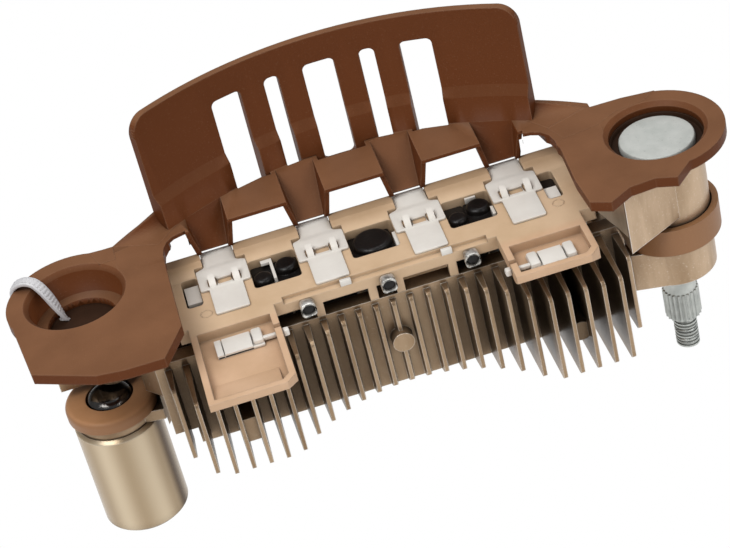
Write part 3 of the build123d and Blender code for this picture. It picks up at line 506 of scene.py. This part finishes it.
# Geometry tree with named inputs
def newShape(name, inputs):
    tree = bpy.data.node_groups.new(name, "GeometryNodeTree")
    tree.interface.new_socket("Geometry", in_out="INPUT", socket_type="NodeSocketGeometry")
    addInputs(tree, inputs)
    tree.interface.new_socket("Geometry", in_out="OUTPUT", socket_type="NodeSocketGeometry")
    return tree, tree.nodes.new("NodeGroupInput"), tree.nodes.new("NodeGroupOutput")


# Ends a tree in Realize Instances and Set Material
def endShape(tree, socket, end, look):
    realize = addNode(tree, "GeometryNodeRealizeInstances")
    paint = addNode(tree, "GeometryNodeSetMaterial", None, {"Material": materials[look]})
    tree.links.new(socket, realize.inputs["Geometry"])
    wire(realize, "Geometry", paint, "Geometry")
    wire(paint, "Geometry", end, "Geometry")


# Runs a tree on an empty mesh or a curve and keeps the result as a plain mesh
def bakeShape(name, tree, values, place=Matrix(), start=None):
    holder = newObject(name, start or bpy.data.meshes.new(name))
    modifier = holder.modifiers.new("shape", "NODES")
    modifier.node_group = tree
    for item in tree.interface.items_tree:
        if item.item_type == "SOCKET" and item.in_out == "INPUT" and item.name in values:
            modifier[item.identifier] = values[item.name]
    mesh = appliedMesh(holder)
    holder.modifiers.remove(modifier)
    bpy.data.objects.remove(holder)
    mesh.transform(place)
    form = bmesh.new()
    form.from_mesh(mesh)
    bmesh.ops.recalc_face_normals(form, faces=form.faces)
    form.to_mesh(mesh)
    form.free()
    return mesh


# Terminal stud: head, neck with straight knurl, thread

stud = {"axis": (0.1168, -0.00315), "headTop": 0.0530, "headBottom": 0.0513, "headRadius": 0.0075, "dish": 0.00005,
        "land": 0.0006, "round": 0.0002, "shankRadius": 0.0030, "neckTop": 0.0225, "neckRadius": 0.0033,
        "knurlTop": 0.0160, "knurlBottom": 0.0091, "knurlRadius": 0.00335, "knurlLead": 0.0004, "ridges": 22,
        "ridgeWidth": 0.00055, "ridgeEnds": 0.0003, "undercut": 0.0008, "coreRadius": 0.00212, "threadRadius": 0.0023,
        "threadBottom": 0.0011, "threadGap": 0.0009, "pitch": 0.0008, "ridgeHeight": 0.0003, "chamfer": 0.0006,
        "tip": 0.0001}


# Straight ridges round the knurl
def makeKnurlTree():
    tree, start, end = newShape("knurlRidges", {"Count": 20, "Radius": 0.003, "Width": 0.0005, "Length": 0.005})
    ring = addNode(tree, "GeometryNodeMeshCircle")
    wire(start, "Count", ring, "Vertices")
    wire(start, "Radius", ring, "Radius")
    size = addNode(tree, "ShaderNodeCombineXYZ")
    for axis, label in (("X", "Width"), ("Y", "Width"), ("Z", "Length")):
        wire(start, label, size, axis)
    ridge = addNode(tree, "GeometryNodeMeshCube")
    wire(size, "Vector", ridge, "Size")
    corner = addNode(tree, "GeometryNodeTransform", None, {"Rotation": (0, 0, math.radians(45))})
    wire(ridge, "Mesh", corner, "Geometry")
    place = addNode(tree, "GeometryNodeInputPosition")
    turn = addNode(tree, "FunctionNodeAlignRotationToVector", {"axis": "X"})
    wire(place, "Position", turn, "Vector")
    spread = addNode(tree, "GeometryNodeInstanceOnPoints")
    wire(ring, "Mesh", spread, "Points")
    wire(corner, "Geometry", spread, "Instance")
    wire(turn, "Rotation", spread, "Rotation")
    endShape(tree, spread.outputs["Instances"], end, "zincPlate")
    return tree


# Helical ridge of the thread
def makeThreadTree():
    tree, start, end = newShape("studThread", {"Turns": 9.0, "Radius": 0.0023, "Length": 0.007, "Ridge": 0.0003})
    helix = addNode(tree, "GeometryNodeCurveSpiral", None, {"Resolution": 40})
    wire(start, "Turns", helix, "Rotations")
    wire(start, "Radius", helix, "Start Radius")
    wire(start, "Radius", helix, "End Radius")
    wire(start, "Length", helix, "Height")
    profile = addNode(tree, "GeometryNodeCurvePrimitiveCircle", None, {"Resolution": 5})
    wire(start, "Ridge", profile, "Radius")
    body = addNode(tree, "GeometryNodeCurveToMesh", None, {"Fill Caps": True})
    wire(helix, "Curve", body, "Curve")
    wire(profile, "Curve", body, "Profile Curve")
    endShape(tree, body.outputs["Mesh"], end, "zincPlate")
    return tree


# Head, neck and core by turning, ridges and thread by nodes
def makeStud():
    look, axis = stud, stud["axis"]
    top, edge, bottom = look["headTop"], look["headRadius"], look["headBottom"]
    headProfile = [
        (0, top - look["dish"]), (edge * 0.5, top - 0.4 * look["dish"]), (edge - look["land"], top),
        (edge - look["round"], top - look["round"] / 2), (edge, top - 2 * look["round"]), (edge, bottom), (0, bottom),
    ]
    addPiece("stud_head", spinProfile("stud_head", headProfile, axis), "headFace")
    knurlTop, knurlBottom, core = look["knurlTop"], look["knurlBottom"], look["coreRadius"]
    end = look["threadBottom"]
    studProfile = [
        (0, bottom), (look["shankRadius"], bottom), (look["shankRadius"], look["neckTop"]),
        (look["neckRadius"], look["neckTop"]), (look["neckRadius"], knurlTop + look["knurlLead"]),
        (look["knurlRadius"], knurlTop), (look["knurlRadius"], knurlBottom),
        (core + look["round"], knurlBottom - look["undercut"]), (core, knurlBottom - 1.5 * look["undercut"]),
        (core, end + look["chamfer"]), (core - look["chamfer"], end - look["tip"]), (0, end - look["tip"]),
    ]
    addPiece("stud", spinProfile("stud", studProfile, axis), "zincPlate", "terminal_stud")
    middle = Matrix.Translation((*axis, (knurlTop + knurlBottom) / 2))
    ridges = bakeShape("stud_knurl", makeKnurlTree(), {
        "Count": look["ridges"], "Radius": look["knurlRadius"], "Width": look["ridgeWidth"],
        "Length": knurlTop - knurlBottom - look["ridgeEnds"]}, middle)
    addPiece("stud_knurl", ridges, "zincPlate")
    ridge = look["ridgeHeight"]
    length = knurlBottom - look["threadGap"] - end - ridge
    thread = bakeShape("stud_thread", makeThreadTree(), {
        "Turns": length / look["pitch"], "Radius": look["threadRadius"] - 0.5 * ridge, "Length": length,
        "Ridge": ridge}, Matrix.Translation((*axis, end + ridge)))
    addPiece("stud_thread", thread, "zincPlate")


makeStud()
print("stage: stud")


# Cable tie: smooth strap with a ladder of ribs down its middle

tie = {"width": 0.0023, "thickness": 0.0008, "ribWidth": 0.0014, "ribHeight": 0.0011, "ribs": 44, "ribDip": 0.78,
       "path": [(-11.5, 8.6, 50.0), (-11.6, 8.7, 53.6), (-11.0, 8.3, 55.4), (-9.6, 7.7, 56.2), (-8.2, 7.0, 56.4),
                (-6.9, 6.1, 56.1), (-5.8, 5.1, 54.8), (-4.9, 4.4, 52.8), (-4.1, 4.0, 50.4), (-3.5, 4.0, 48.2),
                (-3.4, 4.1, 46.5), (-4.4, 4.5, 45.6), (-7.0, 5.7, 45.5), (-10.0, 7.6, 45.5), (-11.4, 8.5, 46.6)],
       "headSize": (0.0044, 0.0040, 0.0042), "headPlace": (-0.0103, 0.0077, 0.0432), "headTurn": 143,
       "headRound": 0.0004}


# Strap swept along the path, with a ladder of ribs
def makeTieTree():
    tree, start, end = newShape("tieStrap", {"Width": 0.0022, "Thickness": 0.001, "Rib Width": 0.0014,
                                             "Rib Height": 0.001, "Ribs": 40, "Rib Dip": 0.8})
    smooth = addNode(tree, "GeometryNodeSetCurveNormal", {"mode": "Z_UP"})
    wire(start, "Geometry", smooth, "Curve")
    even = addNode(tree, "GeometryNodeResampleCurve", None, {"Count": 96})
    wire(smooth, "Curve", even, "Curve")
    band = addNode(tree, "GeometryNodeCurvePrimitiveQuadrilateral")
    wire(start, "Width", band, "Width")
    wire(start, "Thickness", band, "Height")
    softBand = addNode(tree, "GeometryNodeFilletCurve", {"mode": "POLY"}, {"Count": 2, "Radius": 0.0002})
    wire(band, "Curve", softBand, "Curve")
    strap = addNode(tree, "GeometryNodeCurveToMesh", None, {"Fill Caps": True})
    wire(even, "Curve", strap, "Curve")
    wire(softBand, "Curve", strap, "Profile Curve")
    # Ladder: a narrower band whose size steps up and down along the path
    total = addNode(tree, "ShaderNodeMath", {"operation": "MULTIPLY"}, {1: 4})
    wire(start, "Ribs", total, 0)
    fine = addNode(tree, "GeometryNodeResampleCurve")
    wire(smooth, "Curve", fine, "Curve")
    wire(total, "Value", fine, "Count")
    index = addNode(tree, "GeometryNodeInputIndex")
    phase = addNode(tree, "ShaderNodeMath", {"operation": "MODULO"}, {1: 4})
    wire(index, "Index", phase, 0)
    high = addNode(tree, "ShaderNodeMath", {"operation": "LESS_THAN"}, {1: 1.5})
    wire(phase, "Value", high, 0)
    scale = addNode(tree, "ShaderNodeMapRange", None, {"To Max": 1.0})
    wire(high, "Value", scale, "Value")
    wire(start, "Rib Dip", scale, "To Min")
    stepped = addNode(tree, "GeometryNodeSetCurveRadius")
    wire(fine, "Curve", stepped, "Curve")
    wire(scale, "Result", stepped, "Radius")
    rung = addNode(tree, "GeometryNodeCurvePrimitiveQuadrilateral")
    wire(start, "Rib Width", rung, "Width")
    wire(start, "Rib Height", rung, "Height")
    ladder = addNode(tree, "GeometryNodeCurveToMesh", None, {"Fill Caps": True})
    wire(stepped, "Curve", ladder, "Curve")
    wire(rung, "Curve", ladder, "Profile Curve")
    radius = addNode(tree, "GeometryNodeInputRadius")
    wire(radius, "Radius", ladder, "Scale")
    both = addNode(tree, "GeometryNodeJoinGeometry")
    wire(strap, "Mesh", both, "Geometry")
    wire(ladder, "Mesh", both, "Geometry")
    endShape(tree, both.outputs["Geometry"], end, "whiteNylon")
    return tree


# Closed strap and its locking head
def makeTie():
    path = bpy.data.curves.new("tiePath", "CURVE")
    path.dimensions = "3D"
    path.resolution_u = 8
    spline = path.splines.new("NURBS")
    spline.points.add(len(tie["path"]) - 1)
    for point, spot in zip(spline.points, tie["path"]):
        point.co = (*mm(*spot), 1)
    spline.use_cyclic_u = True
    spline.order_u = 3
    strap = bakeShape("tieStrap", makeTieTree(), {
        "Width": tie["width"], "Thickness": tie["thickness"], "Rib Width": tie["ribWidth"],
        "Rib Height": tie["ribHeight"], "Ribs": tie["ribs"], "Rib Dip": tie["ribDip"]}, start=path)
    half = [size / 2 for size in tie["headSize"]]
    turn = Matrix.Translation(tie["headPlace"]) @ Matrix.Rotation(math.radians(tie["headTurn"]), 4, "Z")
    head = softBox("tieHead", [-value for value in half], half, tie["headRound"], turn)
    head.materials.append(materials["whiteNylon"])
    addPiece("cable_tie_strap", joinMeshes("cable_tie_strap", [strap, head]), "whiteNylon", "cable_tie")


makeTie()
print("stage: cable tie")


# Terminals: cut sheet with a slot, two lanced prongs with a gap round each

terminal = {"xs": (0.0285, 0.0485, 0.0685, 0.0885), "level": 0.0461, "sheet": 0.0005, "softness": 0.00008,
            "outline": [(-3.3, 13.4), (3.3, 13.4), (3.3, 8.0), (5.1, 7.3), (5.1, 0.5), (3.4, 0.5), (3.4, -8.0),
                        (-3.4, -8.0), (-3.4, 0.5), (-5.1, 0.5), (-5.1, 7.3), (-3.3, 8.0)],
            "slot": [(-1.4, 1.5), (1.4, 1.5), (1.4, 3.4), (-1.4, 3.4)], "prongSpread": 2.45, "prongWidth": 1.35,
            "prongPath": [(0.9, 0.15), (1.3, 0.75), (1.9, 1.25), (2.7, 1.55), (3.6, 1.70)], "gap": 0.25,
            "window": (1.1, 4.1), "outlineRound": 0.5, "slotRound": 0.3, "windowRound": 0.6}


# One terminal: the cut sheet and its two prongs
def makeTerminal(number, x):
    look = terminal
    lines = [(look["outline"], look["outlineRound"]), (look["slot"], look["slotRound"])]
    wide = look["prongWidth"] / 2 + look["gap"]
    front, rear = look["window"]
    for side in (-1, 1):
        middle = side * look["prongSpread"]
        window = [(middle - wide, front), (middle + wide, front), (middle + wide, rear), (middle - wide, rear)]
        lines.append((window, look["windowRound"]))
    outlines = [[spot / 1000 for spot in roundCorners(line, radius)] for line, radius in lines]
    place = Matrix.Translation((x, 0, look["level"] + look["sheet"] / 2))
    parts = [cutSheet("terminalSheet", outlines, look["sheet"], look["softness"], place)]
    for side in (-1, 1):
        spine = [(x + side * look["prongSpread"] / 1000, y / 1000, look["level"] + z / 1000)
                 for y, z in look["prongPath"]]
        parts.append(bendStrip("prong", spine, (1, 0, 0), look["prongWidth"] / 1000, look["sheet"]))
    addPiece(f"terminal_{number}", joinMeshes(f"terminal_{number}", parts), "tinnedSheet",
             f"stator_terminal_{number}")


for number, x in enumerate(terminal["xs"], start=1):
    makeTerminal(number, x)
print("stage: terminals")


# Rolled lead ends: a squarish tinned frame with a black disc in its eye, painted shade for the dark hollow of the roll

leadEnd = {"xs": (0.0423, 0.0585, 0.0754), "level": 0.0436, "front": -0.0119, "depth": 0.0021, "half": 0.0016,
           "eyeRadius": 0.00125, "corner": 0.0010, "eyeSink": 0.0005, "frameSoftness": 0.00025, "eyeSoftness": 0.0003,
           "frame": [(-1.0, -1.0), (1.0, -0.9), (0.92, 1.0), (-0.95, 1.05)]}


# One lead end, facing the front
def makeLeadEnd(number, x):
    look = leadEnd
    frameLine = roundCorners([Vector(corner) * look["half"] for corner in look["frame"]], look["corner"])
    eye = [Vector((look["eyeRadius"] * math.cos(a), look["eyeRadius"] * math.sin(a)))
           for a in [2 * math.pi * n / 24 for n in range(24)]]
    middle = Matrix.Translation((x, look["front"] + look["depth"] / 2, look["level"]))
    place = middle @ Matrix.Rotation(math.pi / 2, 4, "X")
    rim = cutSheet("leadEnd", [frameLine, eye], look["depth"], look["frameSoftness"], place)
    addPiece(f"lead_end_{number}", rim, "leadTin", f"lead_loop_{number}")
    # Black disc in the eye: painted shade
    eyeShade = cutSheet("leadEyeShade", [eye], look["depth"] - 2 * look["eyeSink"], look["eyeSoftness"], place)
    addPiece(f"lead_eye_shade_{number}", eyeShade, "diodeResin")


for number, x in enumerate(leadEnd["xs"], start=1):
    makeLeadEnd(number, x)
print("stage: lead ends")


# Folded clips in the trays: a pitched sheet, raised hoods at the ends, a pin through the tray's wall

clip = {"floor": 44.1, "length": 9.3, "depth": 5.0, "base": 0.8, "baseDrop": 0.25, "baseRound": 0.12, "ridge": 0.35,
        "seam": 0.22, "endShare": 0.6, "hoodHeight": 1.45, "hoodLength": 2.1, "hoodDepth": 4.1, "hoodBack": 0.3,
        "hoodLow": 0.1, "hoodRound": 0.5, "pinSize": 0.9, "pinLevel": 0.75, "pinDrop": 1.0, "pinRound": 0.25,
        "pinRoot": 0.2, "lugSize": 1.4, "lugLength": 1.1, "lugPast": 0.1, "lugRound": 0.3}
clipPlaces = {
    "left": {"x": 27.7, "y": -16.6, "hoods": (1,), "pinTo": 37.3},
    "right": {"x": 89.3, "y": -19.2, "hoods": (-1, 1), "pinTo": 79.8},
}


# Rounded box beside a clip's own middle, in millimetres
def clipBox(name, low, high, radius, spot):
    middle = mm(spot["x"], spot["y"], clip["floor"])
    return softBox(name, middle + mm(*low), middle + mm(*high), radius / 1000)


# Cover sheet with a low ridge between two places along the clip
def clipPitch(start, end, spot):
    look, deep = clip, clip["depth"] / 2
    line = [(-deep, 0), (-deep, look["base"]), (0, look["base"] + look["ridge"]), (deep, look["base"]), (deep, 0)]
    form = bmesh.new()
    rows = [[form.verts.new(mm(spot["x"] + place, spot["y"] + across, look["floor"] + height))
             for place in (start, end)] for across, height in line]
    for n, row in enumerate(rows):
        after = rows[(n + 1) % len(rows)]
        form.faces.new((row[0], row[1], after[1], after[0]))
    for k in (0, 1):
        form.faces.new([row[k] for row in rows])
    return finishMesh("pitch", form)


# One clip: base, pitched sheet, hoods, pin and the pin's lug
def makeClip(side, spot):
    look, x = clip, spot["x"]
    half, deep = look["length"] / 2, look["depth"] / 2
    parts = [clipBox("base", (-half, -deep, 0), (half, deep, look["base"] - look["baseDrop"]), look["baseRound"], spot)]
    twoHoods = -1 in spot["hoods"]
    left = look["seam"] - half + look["hoodLength"] * (1 if twoHoods else look["endShare"])
    right = half - look["hoodLength"] - look["seam"]
    parts.append(clipPitch(left, right, spot))
    if not twoHoods:
        parts.append(clipPitch(-half, left - look["seam"], spot))
    for hood in spot["hoods"]:
        low, high = sorted((hood * half, hood * (half - look["hoodLength"])))
        front, rear = -look["hoodDepth"] / 2, look["hoodDepth"] / 2 + look["hoodBack"]
        parts.append(clipBox("hood", (low, front, look["hoodLow"]), (high, rear, look["hoodHeight"]), look["hoodRound"],
                             spot))
    way = 1 if spot["pinTo"] > x else -1
    reach = spot["pinTo"] - x
    pinEnds = (way * (half - look["pinRoot"]), reach)
    lugEnds = (reach - way * look["lugLength"], reach + way * look["lugPast"])
    bars = [("pin", pinEnds, look["pinSize"] / 2, look["pinRound"]),
            ("lug", lugEnds, look["lugSize"] / 2, look["lugRound"])]
    for name, ends, size, radius in bars:
        low, high = sorted(ends)
        parts.append(clipBox(name, (low, -size - look["pinDrop"], look["pinLevel"] - size),
                             (high, size - look["pinDrop"], look["pinLevel"] + size), radius, spot))
    addPiece(f"clip_{side}", joinMeshes(f"clip_{side}", parts), "tinnedSheet", f"socket_clip_{side}")


for side, spot in clipPlaces.items():
    makeClip(side, spot)
print("stage: clips")


# Cover: the moulded shell with its openings beside the end chutes cut clear, and feet at the wall's ends

cover = {
    "node": "cover_baffle", "plateTop": 54.7,
    "leftNotch": [(18.5, 2.0), (18.5, 4.5), (18.9, 6.8), (19.8, 8.6), (21.3, 9.9), (23.8, 10.6), (23.8, 2.0)],
    "rightNotch": [(98.0, 0.6), (98.2, 3.0), (97.7, 5.6), (96.4, 7.6), (94.6, 8.6), (92.55, 9.0), (92.55, 2.0)],
    "leftTrim": [(17.0, 7.0), (17.0, 19.5), (23.85, 19.5), (23.85, 7.0)],
    "rightTrim": [(92.5, 7.0), (92.5, 19.5), (100.0, 19.5), (100.0, 7.0)],
    "depths": {"leftNotch": (45.0, 57.0), "rightNotch": (45.0, 57.0), "leftTrim": (45.0, 52.5),
               "rightTrim": (45.0, 52.5)},
    "corners": [[(98.0, 8.2), (107.0, 11.4), (107.9, 11.0), (114.2, 10.9), (121.0, 10.0), (118.0, 7.6), (112.0, 6.9),
                 (107.0, 4.0), (100.0, 3.0)],
                [(9.4, 12.6), (7.2, 12.6), (4.5, 12.8), (6.0, 8.0), (9.4, 8.0)]],
    "feet": [{"base": ((9.6, 12.4), (18.2, 8.6)), "top": ((19.0, 14.8, 58.3), (24.2, 15.0, 54.8))},
             {"base": ((107.2, 11.3), (98.3, 8.0)), "top": ((98.0, 14.8, 57.3), (93.9, 14.7, 54.8))}],
    "plateThickness": 2.2, "plateSkin": 0.02, "footSteps": 10, "footDepth": 0.8, "footCurve": 0.8,
}


# Merged copy of the moulded cover, cut clear by the notches and trims
def makeCover():
    source = nodes[cover["node"]]
    form = bmesh.new()
    form.from_mesh(source.data)
    form.transform(source.matrix_world)
    bmesh.ops.remove_doubles(form, verts=form.verts, dist=2e-6)
    shell = bpy.data.meshes.new("cover")
    form.to_mesh(shell)
    form.free()
    holder = newObject("coverCut", shell)
    cutters = []
    for name, (low, high) in cover["depths"].items():
        cutter = newObject(name, prism(name, cover[name], low, high))
        cut = holder.modifiers.new(name, "BOOLEAN")
        cut.operation = "DIFFERENCE"
        cut.solver = "EXACT"
        cut.object = cutter
        cutters.append(cutter)
    mesh = appliedMesh(holder)
    for extra in cutters + [holder]:
        bpy.data.objects.remove(extra)
    mesh.materials.clear()
    addPiece("cover", mesh, "coverPlastic", cover["node"], crease=28)


# Closed slab between a base line on the plate and a top line at the wall's end
def makeFoot(foot):
    level, steps = cover["plateTop"], cover["footSteps"]
    outerBase, innerBase = (Vector((*corner, level)) for corner in foot["base"])
    outerTop, innerTop = (Vector(corner) for corner in foot["top"])
    form = bmesh.new()
    rows, floor = [], []
    for n in range(steps + 1):
        rise = n / steps
        line = []
        for k in range(steps + 1):
            across = k / steps
            high = outerTop.lerp(innerTop, across)
            spot = outerBase.lerp(innerBase, across).lerp(high, rise)
            spot.z = level + (high.z - level) * rise ** (1 + cover["footCurve"] * across)
            line.append(spot)
        rows.append([form.verts.new(spot / 1000) for spot in line])
        floor.append([form.verts.new(mm(spot.x, spot.y, level - cover["footDepth"])) for spot in line])
    for grid in (rows, floor):
        for n in range(steps):
            for k in range(steps):
                form.faces.new((grid[n][k], grid[n + 1][k], grid[n + 1][k + 1], grid[n][k + 1]))
    rim = [(n, 0) for n in range(steps)] + [(steps, k) for k in range(steps)]
    rim += [(n, steps) for n in range(steps, 0, -1)] + [(0, k) for k in range(steps, 0, -1)]
    for n, (i, j) in enumerate(rim):
        a, b = rim[(n + 1) % len(rim)]
        form.faces.new((rows[i][j], rows[a][b], floor[a][b], floor[i][j]))
    return finishMesh("wallFoot", form)


# Plate that climbs to the wall's ends, and the plate's corners beside the ears
def makeWallFeet():
    parts = [makeFoot(foot) for foot in cover["feet"]]
    low, high = cover["plateTop"] - cover["plateThickness"], cover["plateTop"] + cover["plateSkin"]
    parts += [prism("plateCorner", corner, low, high) for corner in cover["corners"]]
    addPiece("cover_feet", joinMeshes("cover_feet", parts), "coverPlastic", crease=50)


makeCover()
makeWallFeet()
print("stage: cover")


# Collar round the stud's head, inside the right ear, painted near-black as the shadow in the gap round the head

shadowCollar = {"inner": 0.00760, "outer": 0.00938, "low": 0.05132, "high": 0.0517, "lip": 0.0526, "lipWidth": 0.0003}
profile = [(shadowCollar["inner"], shadowCollar["low"]), (shadowCollar["outer"], shadowCollar["low"]), (shadowCollar["outer"], shadowCollar["lip"]),
           (shadowCollar["outer"] - shadowCollar["lipWidth"], shadowCollar["lip"]),
           (shadowCollar["outer"] - 2 * shadowCollar["lipWidth"], shadowCollar["high"]),
           (shadowCollar["inner"], shadowCollar["high"]), (shadowCollar["inner"], shadowCollar["low"])]
addPiece("stud_shadow_collar", spinProfile("stud_shadow_collar", profile, stud["axis"]), "innerShade")


# Web that joins the stud's lug to the base wall: plan position and lower edge of each corner
web = {"corners": [((105.3, -18.3), 41.6), ((103.9, -15.7), 43.3), ((102.5, -13.1), 44.3), ((100.3, -9.2), 46.2)],
       "top": 52.3, "thickness": (1.3, 0.75)}


# Upright web with a stepped lower edge
def makeWeb():
    form = bmesh.new()
    backX, backY = web["thickness"]
    faces = []
    for shift in (0, 1):
        line = [(x + backX * shift, y + backY * shift, z) for (x, y), z in web["corners"]]
        low = [form.verts.new(mm(*spot)) for spot in line]
        high = [form.verts.new(mm(x, y, web["top"])) for x, y, z in line]
        faces.append(low + high[::-1])
        form.faces.new(faces[-1])
    for n in range(len(faces[0])):
        k = (n + 1) % len(faces[0])
        form.faces.new((faces[0][n], faces[0][k], faces[1][k], faces[1][n]))
    addPiece("lug_web", finishMesh("lug_web", form), "webMetalPaintedLit")


makeWeb()


# Lug's top that closes the view through the left ear's cup, beside the opening for the tool; painted near-black as the
# shade inside the cup
lugTop = {"outline": [(7.3, -0.8), (7.0, 3.0), (5.2, 6.2), (1.8, 7.6), (-1.6, 7.5), (-4.6, 6.6), (-6.6, 4.2),
                      (-7.2, 1.4), (-7.0, -0.8)], "low": 46.6, "high": 47.3}
addPiece("lug_top_shade", prism("lug_top_shade", lugTop["outline"], lugTop["low"], lugTop["high"]), "innerShade")


# Rivet's bright rim in the washer

rim = {"inner": 0.00405, "outer": 0.00480, "low": 0.0283, "high": 0.0289, "round": 0.0002}
profile = [(rim["inner"], rim["low"]), (rim["outer"], rim["low"]), (rim["outer"], rim["high"] - rim["round"]),
           (rim["outer"] - rim["round"], rim["high"]), (rim["inner"], rim["high"] - rim["round"] / 2),
           (rim["inner"], rim["low"])]
addPiece("rivet_rim", spinProfile("rivet_rim", profile, (0, 0)), "rivetRim")


# Small tinned tabs at the slab's front edge and shallow ejector marks on the moulding

tabs = {"places": [(50.6, -9.3), (71.0, -9.3)], "size": (2.2, 0.9), "low": 45.2, "high": 46.5, "round": 0.00015}
wide, deep = (size / 2 for size in tabs["size"])
parts = [softBox("tab", mm(x - wide, y - deep, tabs["low"]), mm(x + wide, y + deep, tabs["high"]), tabs["round"])
         for x, y in tabs["places"]]
addPiece("edge_tabs", joinMeshes("edge_tabs", parts), "tinnedSheet")
marks = {"places": [(23.3, -6.4), (95.0, -5.2)], "radius": 1.3, "width": 0.35, "round": 0.1, "low": 46.05,
         "high": 46.18}
outer, inner = marks["radius"], marks["radius"] - marks["width"]
ringLine = [(inner, marks["low"]), (outer, marks["low"]), (outer - marks["round"], marks["high"]),
            (inner + marks["round"], marks["high"]), (inner, marks["low"])]
parts = [spinProfile("mark", [mm(*spot) for spot in ringLine], mm(*place), 40) for place in marks["places"]]
addPiece("slab_marks", joinMeshes("slab_marks", parts), "blockPlastic")
print("stage: small parts")


# Camera, at the photograph's angle

view = {"place": (0.0283, -0.3673, 0.3052), "right": (0.95473, -0.21721, -0.20325), "up": (0.29147, 0.54641, 0.78517),
        "back": (-0.05949, -0.80886, 0.58498), "sensor": 36.0, "lens": 2300 / 730 * 36.0, "nearest": 0.01}
cameraData = bpy.data.cameras.new("camera")
cameraData.sensor_width = view["sensor"]
cameraData.lens = view["lens"]
cameraData.clip_start = view["nearest"]
camera = newObject("camera", cameraData)
turn = Matrix([view["right"], view["up"], view["back"]]).transposed().to_4x4()
camera.matrix_world = Matrix.Translation(view["place"]) @ turn
scene.camera = camera


# Light: a pale room, a large soft key lamp, a fill lamp and a top lamp

# Rectangular area light aimed at a point
def addLight(name, place, size, power):
    data = bpy.data.lights.new(name, "AREA")
    data.shape = "RECTANGLE"
    data.size, data.size_y = size
    data.energy = power
    light = newObject(name, data)
    light.location = place
    light.rotation_mode = "QUATERNION"
    light.rotation_quaternion = (Vector(room["aim"]) - Vector(place)).to_track_quat("-Z", "Y")


room = {"aim": (0.06, 0.0, 0.04), "skyColor": (0.9, 0.92, 0.95, 1), "skyStrength": 0.30, "floorReach": 4.0,
        "floorLevel": -0.0002, "floorColor": (0.85, 0.85, 0.85, 1), "floorRoughness": 0.8}
lamps = {
    "key": {"place": (-0.30, -0.30, 0.75), "size": (0.5, 0.5), "power": 4.4},
    "fill": {"place": (0.55, -0.50, 0.40), "size": (0.4, 0.4), "power": 1.3},
    "top": {"place": (0.25, 0.25, 0.95), "size": (0.5, 0.3), "power": 1.5},
}
for name, lamp in lamps.items():
    addLight(name, lamp["place"], lamp["size"], lamp["power"])
world = bpy.data.worlds.new("world")
world.use_nodes = True
world.node_tree.nodes["Background"].inputs["Color"].default_value = room["skyColor"]
world.node_tree.nodes["Background"].inputs["Strength"].default_value = room["skyStrength"]
scene.world = world


# Floor, plain white to the camera

# Large pale floor at the sleeve's seat
def makeFloor():
    mesh = bpy.data.meshes.new("floor")
    reach, level = room["floorReach"], room["floorLevel"]
    mesh.from_pydata([(-reach, -reach, level), (reach, -reach, level), (reach, reach, level), (-reach, reach, level)],
                     [], [(0, 1, 2, 3)])
    floor = newObject("floor", mesh)
    material = bpy.data.materials.new("floorPaper")
    material.use_nodes = True
    tree = material.node_tree
    shader = tree.nodes["Principled BSDF"]
    shader.inputs["Base Color"].default_value = room["floorColor"]
    shader.inputs["Roughness"].default_value = room["floorRoughness"]
    glow = addNode(tree, "ShaderNodeEmission", None, {"Strength": 1.0})
    rays = addNode(tree, "ShaderNodeLightPath")
    mix = addNode(tree, "ShaderNodeMixShader")
    seen = addNode(tree, "ShaderNodeMath", {"operation": "MAXIMUM"})
    shown = addNode(tree, "ShaderNodeMath", {"operation": "MAXIMUM"})
    wire(rays, "Is Camera Ray", seen, 0)
    wire(rays, "Is Glossy Ray", seen, 1)
    wire(seen, "Value", shown, 0)
    wire(rays, "Is Transmission Ray", shown, 1)
    wire(shown, "Value", mix, "Fac")
    wire(shader, "BSDF", mix, 1)
    wire(glow, "Emission", mix, 2)
    wire(mix, "Shader", tree.nodes["Material Output"], "Surface")
    mesh.materials.append(material)


makeFloor()
print("stage: camera, light and floor")

scene.view_settings.view_transform = "Standard"
